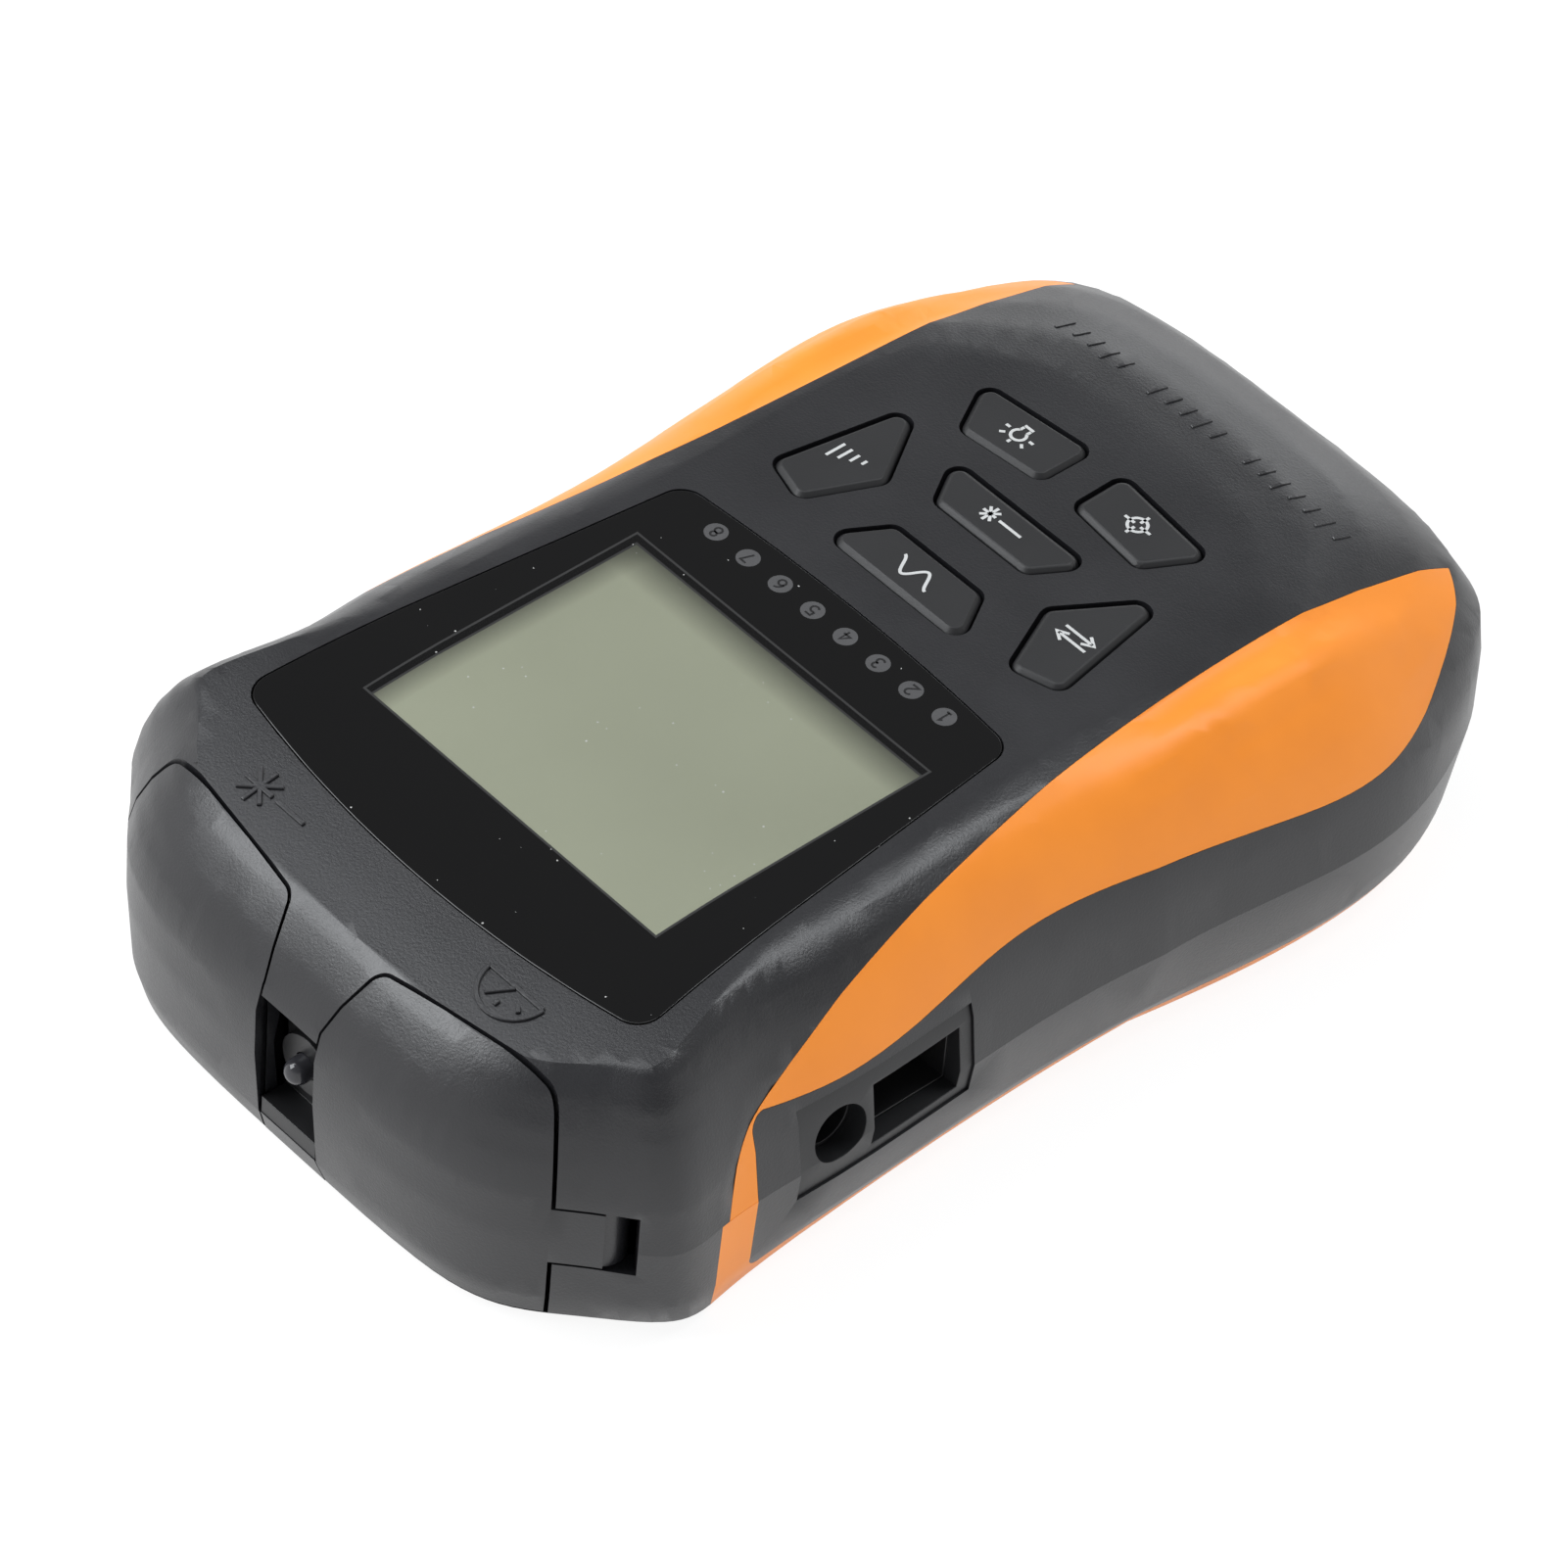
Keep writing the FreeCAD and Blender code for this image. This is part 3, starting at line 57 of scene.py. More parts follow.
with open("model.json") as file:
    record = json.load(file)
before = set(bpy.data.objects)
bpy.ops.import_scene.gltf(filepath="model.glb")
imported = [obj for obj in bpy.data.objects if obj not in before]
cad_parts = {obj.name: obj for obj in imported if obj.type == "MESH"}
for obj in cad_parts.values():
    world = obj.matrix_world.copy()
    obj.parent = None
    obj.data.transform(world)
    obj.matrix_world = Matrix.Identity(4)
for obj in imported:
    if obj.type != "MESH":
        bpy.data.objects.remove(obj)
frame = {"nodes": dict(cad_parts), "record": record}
CAD_LOW, CAD_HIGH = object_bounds()
MM = 0.001
SLOT_OF = {part["node"]: part["material_slot"] for part in frame["record"]["subparts"]}
BODY_OF = {node: body for body, nodes in frame["record"]["behaviour"]["bodies"].items()
           for node in nodes}
KEY_NODES = ("meter_unit_key", "decibel_key", "lamp_key", "reference_key", "wavelength_key",
             "laser_key")
COVER_NODES = ("laser_port_cover", "meter_port_cover")
WINDOW_THICK = 1.5 * MM
SUNK = 0.02 * MM  # how far printed marks reach below the surface that carries them


# ------------------------------------------------------------------ settings
class MeterColours(bpy.types.PropertyGroup):
    """Colours of the finishes, as linear values."""

    casing: bpy.props.FloatVectorProperty(
        name="Casing", description="Textured black plastic of both shells and the covers",
        subtype="COLOR", size=3, min=0, max=1, default=(0.0135, 0.0137, 0.0160))
    grip: bpy.props.FloatVectorProperty(
        name="Grip", description="Orange overmould of the sides",
        subtype="COLOR", size=3, min=0, max=1, default=(0.98, 0.290, 0.022))
    key: bpy.props.FloatVectorProperty(
        name="Keys", description="Matt black rubber of the keys",
        subtype="COLOR", size=3, min=0, max=1, default=(0.0095, 0.0097, 0.0110))
    window: bpy.props.FloatVectorProperty(
        name="Window mask", description="Black print behind the window",
        subtype="COLOR", size=3, min=0, max=1, default=(0.0035, 0.0035, 0.0038))
    display: bpy.props.FloatVectorProperty(
        name="Display", description="Resting grey-green of the liquid crystal display",
        subtype="COLOR", size=3, min=0, max=1, default=(0.325, 0.343, 0.250))
    print_ink: bpy.props.FloatVectorProperty(
        name="Legend ink", description="Pale ink of the key legends",
        subtype="COLOR", size=3, min=0, max=1, default=(0.55, 0.56, 0.56))
    lamp_disc: bpy.props.FloatVectorProperty(
        name="Lamp discs", description="Grey discs of the cable tester's row",
        subtype="COLOR", size=3, min=0, max=1, default=(0.075, 0.075, 0.078))
    backdrop: bpy.props.FloatVectorProperty(
        name="Backdrop", description="Pale floor and surroundings",
        subtype="COLOR", size=3, min=0, max=1, default=(0.95, 0.95, 0.95))


class MeterSizes(bpy.types.PropertyGroup):
    """Sizes of the finishing details."""

    edge: bpy.props.FloatProperty(
        name="Moulded edge", description="Radius of the small rounding on moulded edges",
        unit="LENGTH", default=0.18 * MM)
    cover_edge: bpy.props.FloatProperty(
        name="Cover edge", description="Radius of the softer rounding on the rims of the port covers",
        unit="LENGTH", default=0.4 * MM)
    legend_line: bpy.props.FloatProperty(
        name="Legend line", description="Width of the lines of the key legends",
        unit="LENGTH", default=0.36 * MM)
    legend_thick: bpy.props.FloatProperty(
        name="Ink thickness", description="How far the printed marks stand proud",
        unit="LENGTH", default=0.03 * MM)
    disc: bpy.props.FloatProperty(
        name="Lamp disc", description="Diameter of the printed discs of the cable tester's row",
        unit="LENGTH", default=2.65 * MM)
    emboss: bpy.props.FloatProperty(
        name="Raised marks", description="How far the moulded marks stand proud of the casing",
        unit="LENGTH", default=0.3 * MM)
    grain: bpy.props.FloatProperty(
        name="Grain", description="Size of the spark-eroded grain of the plastic",
        unit="LENGTH", default=0.3 * MM)
    camera_lens: bpy.props.FloatProperty(
        name="Lens", description="Focal length of the camera", subtype="DISTANCE_CAMERA",
        default=182.4)


# ------------------------------------------------------------------ shader building blocks
RANGE_SOCKETS = ("From Min", "From Max", "To Min", "To Max")


class Nodes:
    """A small helper that adds nodes to a material and links them by name."""

    def __init__(self, name):
        self.material = bpy.data.materials.new(name)
        self.material.use_nodes = True
        self.tree = self.material.node_tree
        self.tree.nodes.clear()
        self.output = self.tree.nodes.new("ShaderNodeOutputMaterial")

    def add(self, kind, links=(), **settings):
        node = self.tree.nodes.new("ShaderNode" + kind)
        for key, value in settings.items():
            if hasattr(node, key):
                setattr(node, key, value)
            else:
                node.inputs[key.replace("_", " ")].default_value = value
        for socket, source in dict(links).items():
            self.tree.links.new(source, node.inputs[socket])
        return node

    def feed(self, socket, value):
        """Link a socket, or set a number or a colour on it."""
        if isinstance(value, bpy.types.NodeSocket):
            self.tree.links.new(value, socket)
        elif isinstance(value, (int, float)):
            socket.default_value = value
        else:
            socket.default_value = (*value[:3], 1)

    def place(self):
        return self.add("TexCoord").outputs["Object"]

    def noise(self, vector, size, detail=2.0, roughness=0.5):
        node = self.add("TexNoise", {"Vector": vector})
        node.inputs["Scale"].default_value = 1.0 / size
        node.inputs["Detail"].default_value = detail
        node.inputs["Roughness"].default_value = roughness
        return node.outputs["Fac"]

    def scale(self, value, low, high, start=0.0, end=1.0):
        node = self.add("MapRange", {"Value": value})
        for socket, number in zip(RANGE_SOCKETS, (start, end, low, high)):
            node.inputs[socket].default_value = number
        return node.outputs["Result"]

    def maths(self, operation, a, b=None):
        node = self.add("Math", operation=operation)
        for socket, value in zip(node.inputs, (a, b)):
            if value is not None:
                self.feed(socket, value)
        return node.outputs[0]

    def mix(self, factor, a, b):
        node = self.add("Mix", data_type="RGBA")
        for index, value in ((0, factor), (6, a), (7, b)):
            self.feed(node.inputs[index], value)
        return node.outputs[2]

    def bump(self, height, depth):
        node = self.add("Bump", {"Height": height})
        node.inputs["Distance"].default_value = depth
        node.inputs["Strength"].default_value = 1.0
        return node.outputs["Normal"]

    def finish(self, colour=None, roughness=None, normal=None, alpha=None, **fixed):
        node = self.add("BsdfPrincipled")
        chosen = {"Base Color": colour, "Roughness": roughness, "Normal": normal, "Alpha": alpha}
        for socket, value in chosen.items():
            if value is not None:
                self.feed(node.inputs[socket], value)
        for key, value in fixed.items():
            node.inputs[key.replace("_", " ")].default_value = value
        self.tree.links.new(node.outputs["BSDF"], self.output.inputs["Surface"])
        return self.material


def shade(colour, factor):
    """A colour made lighter or darker by a factor."""
    return tuple(min(1.0, part * factor) for part in colour[:3])


def dust(n, vector, amount, size=1.9 * MM, drifts=True, reach=(0.02, 0.07)):
    """Sparse pale specks, thicker in drifts.

    A speck is the middle of a rare cell of a Voronoi pattern whose place is shaken by a fine noise.
    """
    shake_size, shake_move, drift_size = 0.3 * MM, 0.12 * MM, 13 * MM
    shake = n.add("TexNoise", {"Vector": vector}, Scale=1 / shake_size).outputs["Color"]
    shaken = n.add("VectorMath", {0: shake}, operation="SCALE")
    shaken.inputs["Scale"].default_value = shake_move
    place = n.add("VectorMath", {0: vector, 1: shaken.outputs[0]}, operation="ADD").outputs[0]
    cells = n.add("TexVoronoi", {"Vector": place})
    cells.inputs["Scale"].default_value = 1.0 / size
    lottery = n.add("SeparateColor", {"Color": cells.outputs["Color"]})
    near = n.maths("LESS_THAN", cells.outputs["Distance"], n.scale(lottery.outputs[1], *reach))
    share = amount
    if drifts:
        share = n.scale(n.noise(vector, drift_size, 2.0), 0.0, amount * 3.0, 0.45, 0.75)
    return n.maths("MULTIPLY", near, n.maths("LESS_THAN", lottery.outputs[0], share))


def moulded(name, colour, rough, grain, depth, dusty=0.0, specular=0.5):
    """Moulded plastic: fine eroded grain, a faint cloud in colour and gloss, and a little dust."""
    n = Nodes(name)
    where = n.place()
    cloud = n.noise(where, 14 * MM, 3.0)
    fine = n.noise(where, grain, 2.0, 0.6)
    tint = n.mix(n.scale(cloud, 0.0, 1.0, 0.3, 0.7), shade(colour, 0.9), shade(colour, 1.1))
    if dusty:
        tint = n.mix(dust(n, where, dusty), tint, (0.30, 0.30, 0.29))
    mixed = n.maths("ADD", n.maths("MULTIPLY", cloud, 0.6), n.maths("MULTIPLY", fine, 0.4))
    gloss = n.scale(mixed, rough - 0.05, rough + 0.05, 0.3, 0.7)
    return n.finish(tint, gloss, n.bump(fine, depth), Specular_IOR_Level=specular)


def plated(name, colour, rough):
    """Plated or turned metal with faint handling marks."""
    n = Nodes(name)
    where = n.place()
    fine = n.noise(where, 0.6 * MM, 4.0, 0.7)
    gloss = n.scale(fine, rough - 0.06, rough + 0.08, 0.3, 0.7)
    tint = n.mix(fine, shade(colour, 0.88), shade(colour, 1.06))
    return n.finish(tint, gloss, n.bump(fine, 0.01 * MM), Metallic=1.0)


def within(n, split, low, high, grow=0.0):
    """One inside the upright prism over a rectangle in plan, nought outside it."""
    inside = None
    for axis, (start, end) in enumerate(zip(low, high)):
        for value in (n.maths("GREATER_THAN", split.outputs[axis], start - grow),
                      n.maths("LESS_THAN", split.outputs[axis], end + grow)):
            inside = value if inside is None else n.maths("MULTIPLY", inside, value)
    return inside


def window_pane(name, mask, low, high):
    """Acrylic with a black mask, clear over the display and underneath, with a thin pale line of painted
    highlight round the clear part.
    """
    n = Nodes(name)
    where = n.place()
    split = n.add("SeparateXYZ", {"Vector": where})
    inside = within(n, split, low, high)
    # painted highlight: a thin pale line all round the clear part of the mask
    glint_line_width = 0.28 * MM
    glint_line = n.maths("SUBTRACT", within(n, split, low, high, glint_line_width), inside)
    fine_dust = dust(n, where, 0.22, 1.2 * MM, True, (0.03, 0.10))
    coarse_dust = dust(n, where, 0.06, 3.0 * MM, False, (0.012, 0.045))
    specks = n.maths("MAXIMUM", fine_dust, coarse_dust)
    tint = n.mix(n.maths("MULTIPLY", glint_line, 0.035), mask, (1, 1, 1))
    tint = n.mix(specks, tint, (0.5, 0.5, 0.49))
    haze = n.noise(where, 9 * MM, 4.0)
    gloss = n.scale(haze, 0.05, 0.10, 0.3, 0.7)
    facing = n.add("SeparateXYZ", {"Vector": n.add("NewGeometry").outputs["Normal"]}).outputs[2]
    under = n.maths("LESS_THAN", facing, -0.5)
    clear = n.maths("MULTIPLY", inside, n.maths("SUBTRACT", 1.0, specks))
    see = n.scale(n.maths("MAXIMUM", clear, under), 1.0, 0.07)
    return n.finish(tint, gloss, alpha=see, Specular_IOR_Level=0.45)


def grip_rubber(name, colour, grain):
    """Satin overmould with a faint cloud and a little dust."""
    n = Nodes(name)
    where = n.place()
    cloud = n.noise(where, 12 * MM, 3.0)
    fine = n.noise(where, grain, 2.0, 0.6)
    tint = n.mix(n.scale(cloud, 0.0, 1.0, 0.3, 0.7), shade(colour, 0.95), shade(colour, 1.05))
    tint = n.mix(dust(n, where, 0.006), tint, (0.75, 0.62, 0.5))
    gloss = n.scale(cloud, 0.36, 0.46, 0.3, 0.7)
    return n.finish(tint, gloss, n.bump(fine, 0.006 * MM), Specular_IOR_Level=0.45)


def plain(name, colour, rough):
    """A quiet finish for inks and for pieces inside the case, with a little variation."""
    n = Nodes(name)
    where = n.place()
    cloud = n.noise(where, 3 * MM, 3.0)
    tint = n.mix(cloud, shade(colour, 0.9), shade(colour, 1.08))
    return n.finish(tint, n.scale(cloud, rough - 0.05, rough + 0.05), n.bump(cloud, 0.02 * MM))


def glowless_lcd(name, colour, low, high):
    """Resting display: a satin polariser, with painted shadow that makes it dimmer under two edges of the
    window's mask.
    """
    n = Nodes(name)
    where = n.place()
    drift = n.noise(where, 30 * MM, 2.0)
    tint = n.mix(n.scale(drift, 0.0, 1.0, 0.3, 0.7), shade(colour, 0.95), shade(colour, 1.05))
    split = n.add("SeparateXYZ", {"Vector": where})
    # painted shadow: darker towards the far edge and the +X edge, down to 0.15 of the colour at the edge
    shadow_lap, far_shadow_reach, side_shadow_reach = 0.8 * MM, 4.2 * MM, 2.8 * MM
    far = n.scale(split.outputs[1], 0.0, 1.0, low[1] - shadow_lap, low[1] + far_shadow_reach)
    side = n.scale(split.outputs[0], 0.1, 1.0, high[0] + shadow_lap, high[0] - side_shadow_reach)
    tint = n.mix(n.maths("MULTIPLY", far, side), shade(colour, 0.15), tint)
    return n.finish(tint, 0.42, n.bump(n.noise(where, 0.15 * MM), 0.003 * MM))


def finishes():
    """Every finish by the record's slot name."""
    colours = bpy.context.scene.meter_colours
    sizes = bpy.context.scene.meter_sizes
    low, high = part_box("lcd_panel")
    margin = 2 * MM
    rect = ((low.x + margin, low.y + margin), (high.x - margin, high.y - margin))
    return {
        "print_white": plain("legend ink", colours.print_ink, 0.5),
        "disc_grey": plain("lamp disc ink", colours.lamp_disc, 0.35),
        "digit_dark": plain("numeral ink", (0.008, 0.008, 0.009), 0.35),
        # painted shade: the dark crosses on the screw heads stand in for the shade inside cross recesses
        "screw_shadow": plain("screw recess shade", (0.02, 0.02, 0.02), 0.6),
        "casing_black": moulded("casing plastic", colours.casing, 0.34, sizes.grain, 0.028 * MM,
                                0.012, 0.6),
        "grip_orange": grip_rubber("grip overmould", colours.grip, sizes.grain * 1.5),
        "window_clear": window_pane("window pane", colours.window, *rect),
        "lcd_glass": glowless_lcd("display polariser", colours.display, *rect),
        "light_white": plain("light guide resin", (0.62, 0.63, 0.62), 0.3),
        "frame_white": plain("display frame plastic", (0.42, 0.43, 0.40), 0.5),
        "board_green": plain("board solder mask", (0.02, 0.12, 0.04), 0.35),
        "key_black": moulded("key rubber", colours.key, 0.5, sizes.grain * 0.7, 0.008 * MM, 0.01),
        "mat_grey": plain("keypad mat rubber", (0.18, 0.18, 0.19), 0.6),
        "steel": plated("zinc plated steel", (0.56, 0.56, 0.57), 0.32),
        "nickel": plated("nickel plating", (0.66, 0.64, 0.60), 0.22),
        "brass": plated("turned brass", (0.72, 0.52, 0.22), 0.28),
        "port_black": moulded("port plastic", (0.012, 0.012, 0.013), 0.36, sizes.grain, 0.006 * MM),
        "panel_grey": moulded("side panel plastic", (0.013, 0.0135, 0.015), 0.46, sizes.grain,
                              0.01 * MM, 0.01),
        "contact_gold": plated("gold flashed contacts", (0.85, 0.62, 0.25), 0.25),
        "cell_sleeve": plain("cell sleeve", (0.06, 0.07, 0.09), 0.3),
        "torch_clear": plain("torch resin", (0.035, 0.035, 0.04), 0.08),
    }


FINISH = {}


def seat(piece, body, slot, *nodes):
    """Rides the piece on its body, gives it the finish of its slot unless it has one, and hides the nodes
    that it stands for.
    """
    if piece.name not in bpy.context.scene.collection.objects:
        bpy.context.scene.collection.objects.link(piece)
    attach(piece, body)
    if nodes:
        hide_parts(*nodes)
    if not piece.data.materials:
        piece.data.materials.append(FINISH[slot])
    return piece


def sliced(work, low, high, upward, step=2.5 * MM, snap=0.35 * MM):
    """Cuts the faces that lean one way along upright planes, so that none is longer than the step."""
    lean = 0.03
    for axis in (0, 1):
        for place in np.arange(math.ceil(low[axis] / step), high[axis] / step) * step:
            sloping = [f for f in work.faces if f.normal.z * upward > lean]
            edges = {e for f in sloping for e in f.edges}
            verts = {v for f in sloping for v in f.verts}
            point, normal = [0, 0, 0], [0, 0, 0]
            point[axis], normal[axis] = place, 1
            bmesh.ops.bisect_plane(work, geom=[*verts, *edges, *sloping], dist=snap,
                                   plane_co=point, plane_no=normal)


def softened(mesh, upward, rounds=3, most=0.1 * MM):
    """Eases shallow creases: each free corner moves towards the middle of its neighbours, then back.

    A corner is free where no hard edge meets it and its normal leans the chosen way. Neighbours count
    by one over their distance. A step of 0.5 inwards is followed by one of 0.52 outwards, which rounds
    creases and keeps the volume, and the whole move is scaled down where it is longer than the most
    allowed.
    """
    lean, nearest = 0.05, 0.2 * MM
    count, lines = len(mesh.vertices), len(mesh.edges)
    start, normal = np.empty(count * 3), np.empty(count * 3)
    ends, hard = np.empty(lines * 2, int), np.empty(lines, bool)
    mesh.vertices.foreach_get("co", start)
    mesh.vertices.foreach_get("normal", normal)
    mesh.edges.foreach_get("vertices", ends)
    mesh.edges.foreach_get("use_edge_sharp", hard)
    start, normal, ends = start.reshape(-1, 3), normal.reshape(-1, 3), ends.reshape(-1, 2)
    fixed = np.bincount(ends[hard].ravel(), minlength=count) > 0
    free = ~fixed & (normal[:, 2] * upward > lean)
    both = np.vstack([ends, ends[:, ::-1]])
    pull = 1 / np.maximum(np.linalg.norm(start[both[:, 0]] - start[both[:, 1]], axis=1), nearest)
    total = np.maximum(np.bincount(both[:, 0], pull, count), 1e-9)[:, None]
    place = start.copy()
    for step in (0.5, -0.52) * rounds:
        drawn = [np.bincount(both[:, 0], pull * place[both[:, 1], axis], count) for axis in range(3)]
        place[free] += step * (np.stack(drawn, 1) / total - place)[free]
    move = place - start
    length = np.maximum(np.linalg.norm(move, axis=1), 1e-12)[:, None]
    return start + move * np.minimum(1, most / length), normal, free


def ridged(place, normal, free, height):
    """Soft ridge along a grip's lobe, with a shallow hollow above it.

    Each corner moves along its normal by the height times a bell curve of its distance across from the
    ridge line, less half a bell for the hollow, faded in and out along the lobe by a squared sine.
    """
    line, spread, hollow = 33.8 * MM, 1.9 * MM, 1.7
    far_end, length = -64 * MM, 62 * MM
    across = (np.abs(place[:, 0]) - line) / spread
    along = np.clip((place[:, 1] - far_end) / length, 0, 1)
    bell = np.exp(-across ** 2) - 0.5 * np.exp(-(across + hollow) ** 2)
    rise = height * bell * np.sin(np.pi * along) ** 2
    place[free] += (normal * rise[:, None])[free]
    return place


def eased(piece, width, segments, angle=30.0):
    """Rounds the edges of a piece that turn by more than the angle, in degrees."""
    bevel = piece.modifiers.new("eased edges", "BEVEL")
    bevel.width = width
    bevel.segments = segments
    bevel.limit_method = "ANGLE"
    bevel.angle_limit = math.radians(angle)
    return bevel


def finished(node, edge=None, sharp=30.0, soften=0, ridge=0.0):
    """A copy of a solid's surface with its corners joined, smooth shading and its hard edges eased.

    The faces that turn by less than the sharp angle, in degrees, are shaded as one surface. Soften is 1 to
    ease the shallow creases of the faces that lean upwards, and 0 to leave them.
    """
    mesh = frame["nodes"][node].data.copy()
    mesh.materials.clear()
    work = bmesh.new()
    work.from_mesh(mesh)
    bmesh.ops.remove_doubles(work, verts=work.verts, dist=2e-6)
    bmesh.ops.dissolve_limit(work, angle_limit=math.radians(0.15), verts=work.verts, edges=work.edges)
    if soften:
        sliced(work, *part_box(node), soften)
    for face in work.faces:
        face.smooth = True
    for side in work.edges:
        side.smooth = len(side.link_faces) == 2 and side.calc_face_angle() < math.radians(sharp)
    work.to_mesh(mesh)
    work.free()
    if soften:
        place, normal, free = softened(mesh, soften)
        if ridge:
            place = ridged(place, normal, free, ridge)
        mesh.vertices.foreach_set("co", place.ravel())
        mesh.update()
    piece = bpy.data.objects.new(node + "_finished", mesh)
    bpy.context.scene.collection.objects.link(piece)
    width = bpy.context.scene.meter_sizes.edge if edge is None else edge
    if width:
        bevel = eased(piece, width, 2, sharp + 5)
        bevel.harden_normals = True
        bevel.miter_outer = "MITER_ARC"
    return seat(piece, BODY_OF[node], SLOT_OF[node], node)


def mesh_piece(name, vertices, faces):
    """A new object at the origin from corners and faces."""
    mesh = bpy.data.meshes.new(name)
    mesh.from_pydata(vertices, [], faces)
    mesh.validate()
    mesh.update()
    return bpy.data.objects.new(name, mesh)


def arc(centre_x, centre_y, radius_x, radius_y, start, end, count=13):
    """Points of an ellipse: centre plus radius times the cosine and sine of evenly spaced angles."""
    angle = np.radians(np.linspace(start, end, count))
    return np.stack([centre_x + radius_x * np.cos(angle), centre_y + radius_y * np.sin(angle)], 1)


def stroke(path, width):
    """Corners of a pen line of even width: each point is moved both ways along its mitred normal.

    The mitred normal is the sum of the unit normals of the two runs that meet there, over one plus their
    product, so that both edges stay parallel to the path. The divisor has a least value, which keeps
    the corner of a tight turn short.
    """
    least = 0.35
    path = np.asarray(path, float)
    runs = np.diff(path, axis=0)
    runs = runs / np.linalg.norm(runs, axis=1)[:, None]
    normals = np.stack([-runs[:, 1], runs[:, 0]], 1)
    closed = np.allclose(path[0], path[-1])
    before = np.vstack([normals[-1:] if closed else normals[:1], normals])
    after = np.vstack([normals, normals[:1] if closed else normals[-1:]])
    mitre = (before + after) / np.maximum(1 + (before * after).sum(1), least)[:, None]
    return path + mitre * width / 2, path - mitre * width / 2


def raised(name, outlines, low, high):
    """One mesh of flat raised pieces: each pair of edges is joined at a low and a high level.

    Every station of a pair has four corners, left and right at the low and at the high level; walls and
    faces join each station to the next, and the first and last are capped.
    """
    vertices, faces = [], []
    first = 0
    for left, right in outlines:
        count = len(left)
        plan = np.stack([left, right, right, left], 1)
        level = np.stack([low(left), low(right), high(right), high(left)], 1)
        vertices.append(np.concatenate([plan, level[..., None]], 2).reshape(-1, 3))
        station = first + 4 * np.arange(count - 1)[:, None, None]
        side = np.arange(4)[None, :, None]
        corner = np.array([[0, 0], [1, 0], [1, 4], [0, 4]])
        turned = (side + corner[:, 0]) % 4 + corner[:, 1]
        faces.append((station + turned).reshape(-1, 4))
        faces.append(first + np.array([[3, 2, 1, 0]]))
        faces.append(first + 4 * (count - 1) + np.array([[0, 1, 2, 3]]))
        first += 4 * count
    piece = mesh_piece(name, np.concatenate(vertices).tolist(), np.concatenate(faces).tolist())
    work = bmesh.new()
    work.from_mesh(piece.data)
    bmesh.ops.remove_doubles(work, verts=work.verts, dist=1e-7)
    bmesh.ops.recalc_face_normals(work, faces=work.faces)
    work.to_mesh(piece.data)
    work.free()
    return piece


def drawing(paths, middle, width, size=1.0):
    """Pen lines of a small drawing in millimetres, put round its middle."""
    outlines = []
    for path in paths:
        left, right = stroke(np.asarray(path, float) * size, width / MM)
        outlines.append((left * MM + middle, right * MM + middle))
    return outlines


def disc(middle, radius, count=25):
    """A filled disc as one pair of edges, the two halves of its rim, a hair apart at both ends.

    Each half is the middle plus the radius times the cosine and the sine of evenly spaced angles.
    """
    gap = 0.05
    angle = np.linspace(-np.pi / 2 + gap, np.pi / 2 - gap, count)
    half = np.stack([radius * np.cos(angle), radius * np.sin(angle)], 1)
    return half + middle, half * (-1, 1) + middle


def flat(level):
    """The same height at every place in plan."""
    return lambda plan: np.full(len(plan), level)


def surface_over(node):
    """Height of a solid's upper surface at places in plan.

    It comes from the weights of each place in each triangle. The two weights are the doubled signed areas
    that the place makes with two sides, over the triangle's own doubled area; the place is inside where
    neither weight, nor what they leave of one, is negative.
    """
    slack = 1e-5
    mesh = frame["nodes"][node].data
    mesh.calc_loop_triangles()
    spots = np.empty(len(mesh.vertices) * 3)
    corners = np.empty(len(mesh.loop_triangles) * 3, int)
    mesh.vertices.foreach_get("co", spots)
    mesh.loop_triangles.foreach_get("vertices", corners)
    a, b, c = spots.reshape(-1, 3)[corners.reshape(-1, 3)].transpose(1, 0, 2)

    def area(u, v):
        return u[..., 0] * v[..., 1] - u[..., 1] * v[..., 0]

    whole = area(b - a, c - a)
    up = whole > 1e-14
    a, b, c, whole = a[up], b[up], c[up], whole[up]

    def height(plan):
        away = plan[:, None, :] - a[None, :, :2]
        to_c = area((b - a)[None], away) / whole
        to_b = area(away, (c - a)[None]) / whole
        inside = (to_c > -slack) & (to_b > -slack) & (to_c + to_b < 1 + slack)
        level = a[:, 2] + to_b * (b - a)[:, 2] + to_c * (c - a)[:, 2]
        return np.where(inside, level, 0).max(1)

    return height


def lifted(height, lift):
    """A height at each place in plan, plus the lift."""
    return lambda plan: height(plan) + lift


def casing_top(lift):
    """Height of the casing's top at a place, plus the lift.

    It is level, and past the start it follows a long arc down towards the ports: the arc's crown less the
    radius, plus the root of the radius squared less the distance past the start squared.
    """
    radius, start = 190 * MM, 28 * MM
    top, crown = 34.7 * MM, 0.05 * MM

    def height(plan):
        past = np.maximum(plan[:, 1] - start, 0)
        return np.minimum(top, top + crown - radius + np.sqrt(radius ** 2 - past ** 2)) + lift

    return height


def top_middle(node):
    """Middle of the level top face of a solid, weighted by area."""
    mesh = frame["nodes"][node].data
    count = len(mesh.polygons)
    middle, normal, area = np.empty(count * 3), np.empty(count * 3), np.empty(count)
    mesh.polygons.foreach_get("center", middle)
    mesh.polygons.foreach_get("normal", normal)
    mesh.polygons.foreach_get("area", area)
    middle, normal = middle.reshape(-1, 3), normal.reshape(-1, 3)
    chosen = (normal[:, 2] > 0.99) & (middle[:, 2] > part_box(node)[1].z - 0.05 * MM)
    return (middle[chosen, :2] * area[chosen, None]).sum(0) / area[chosen].sum()


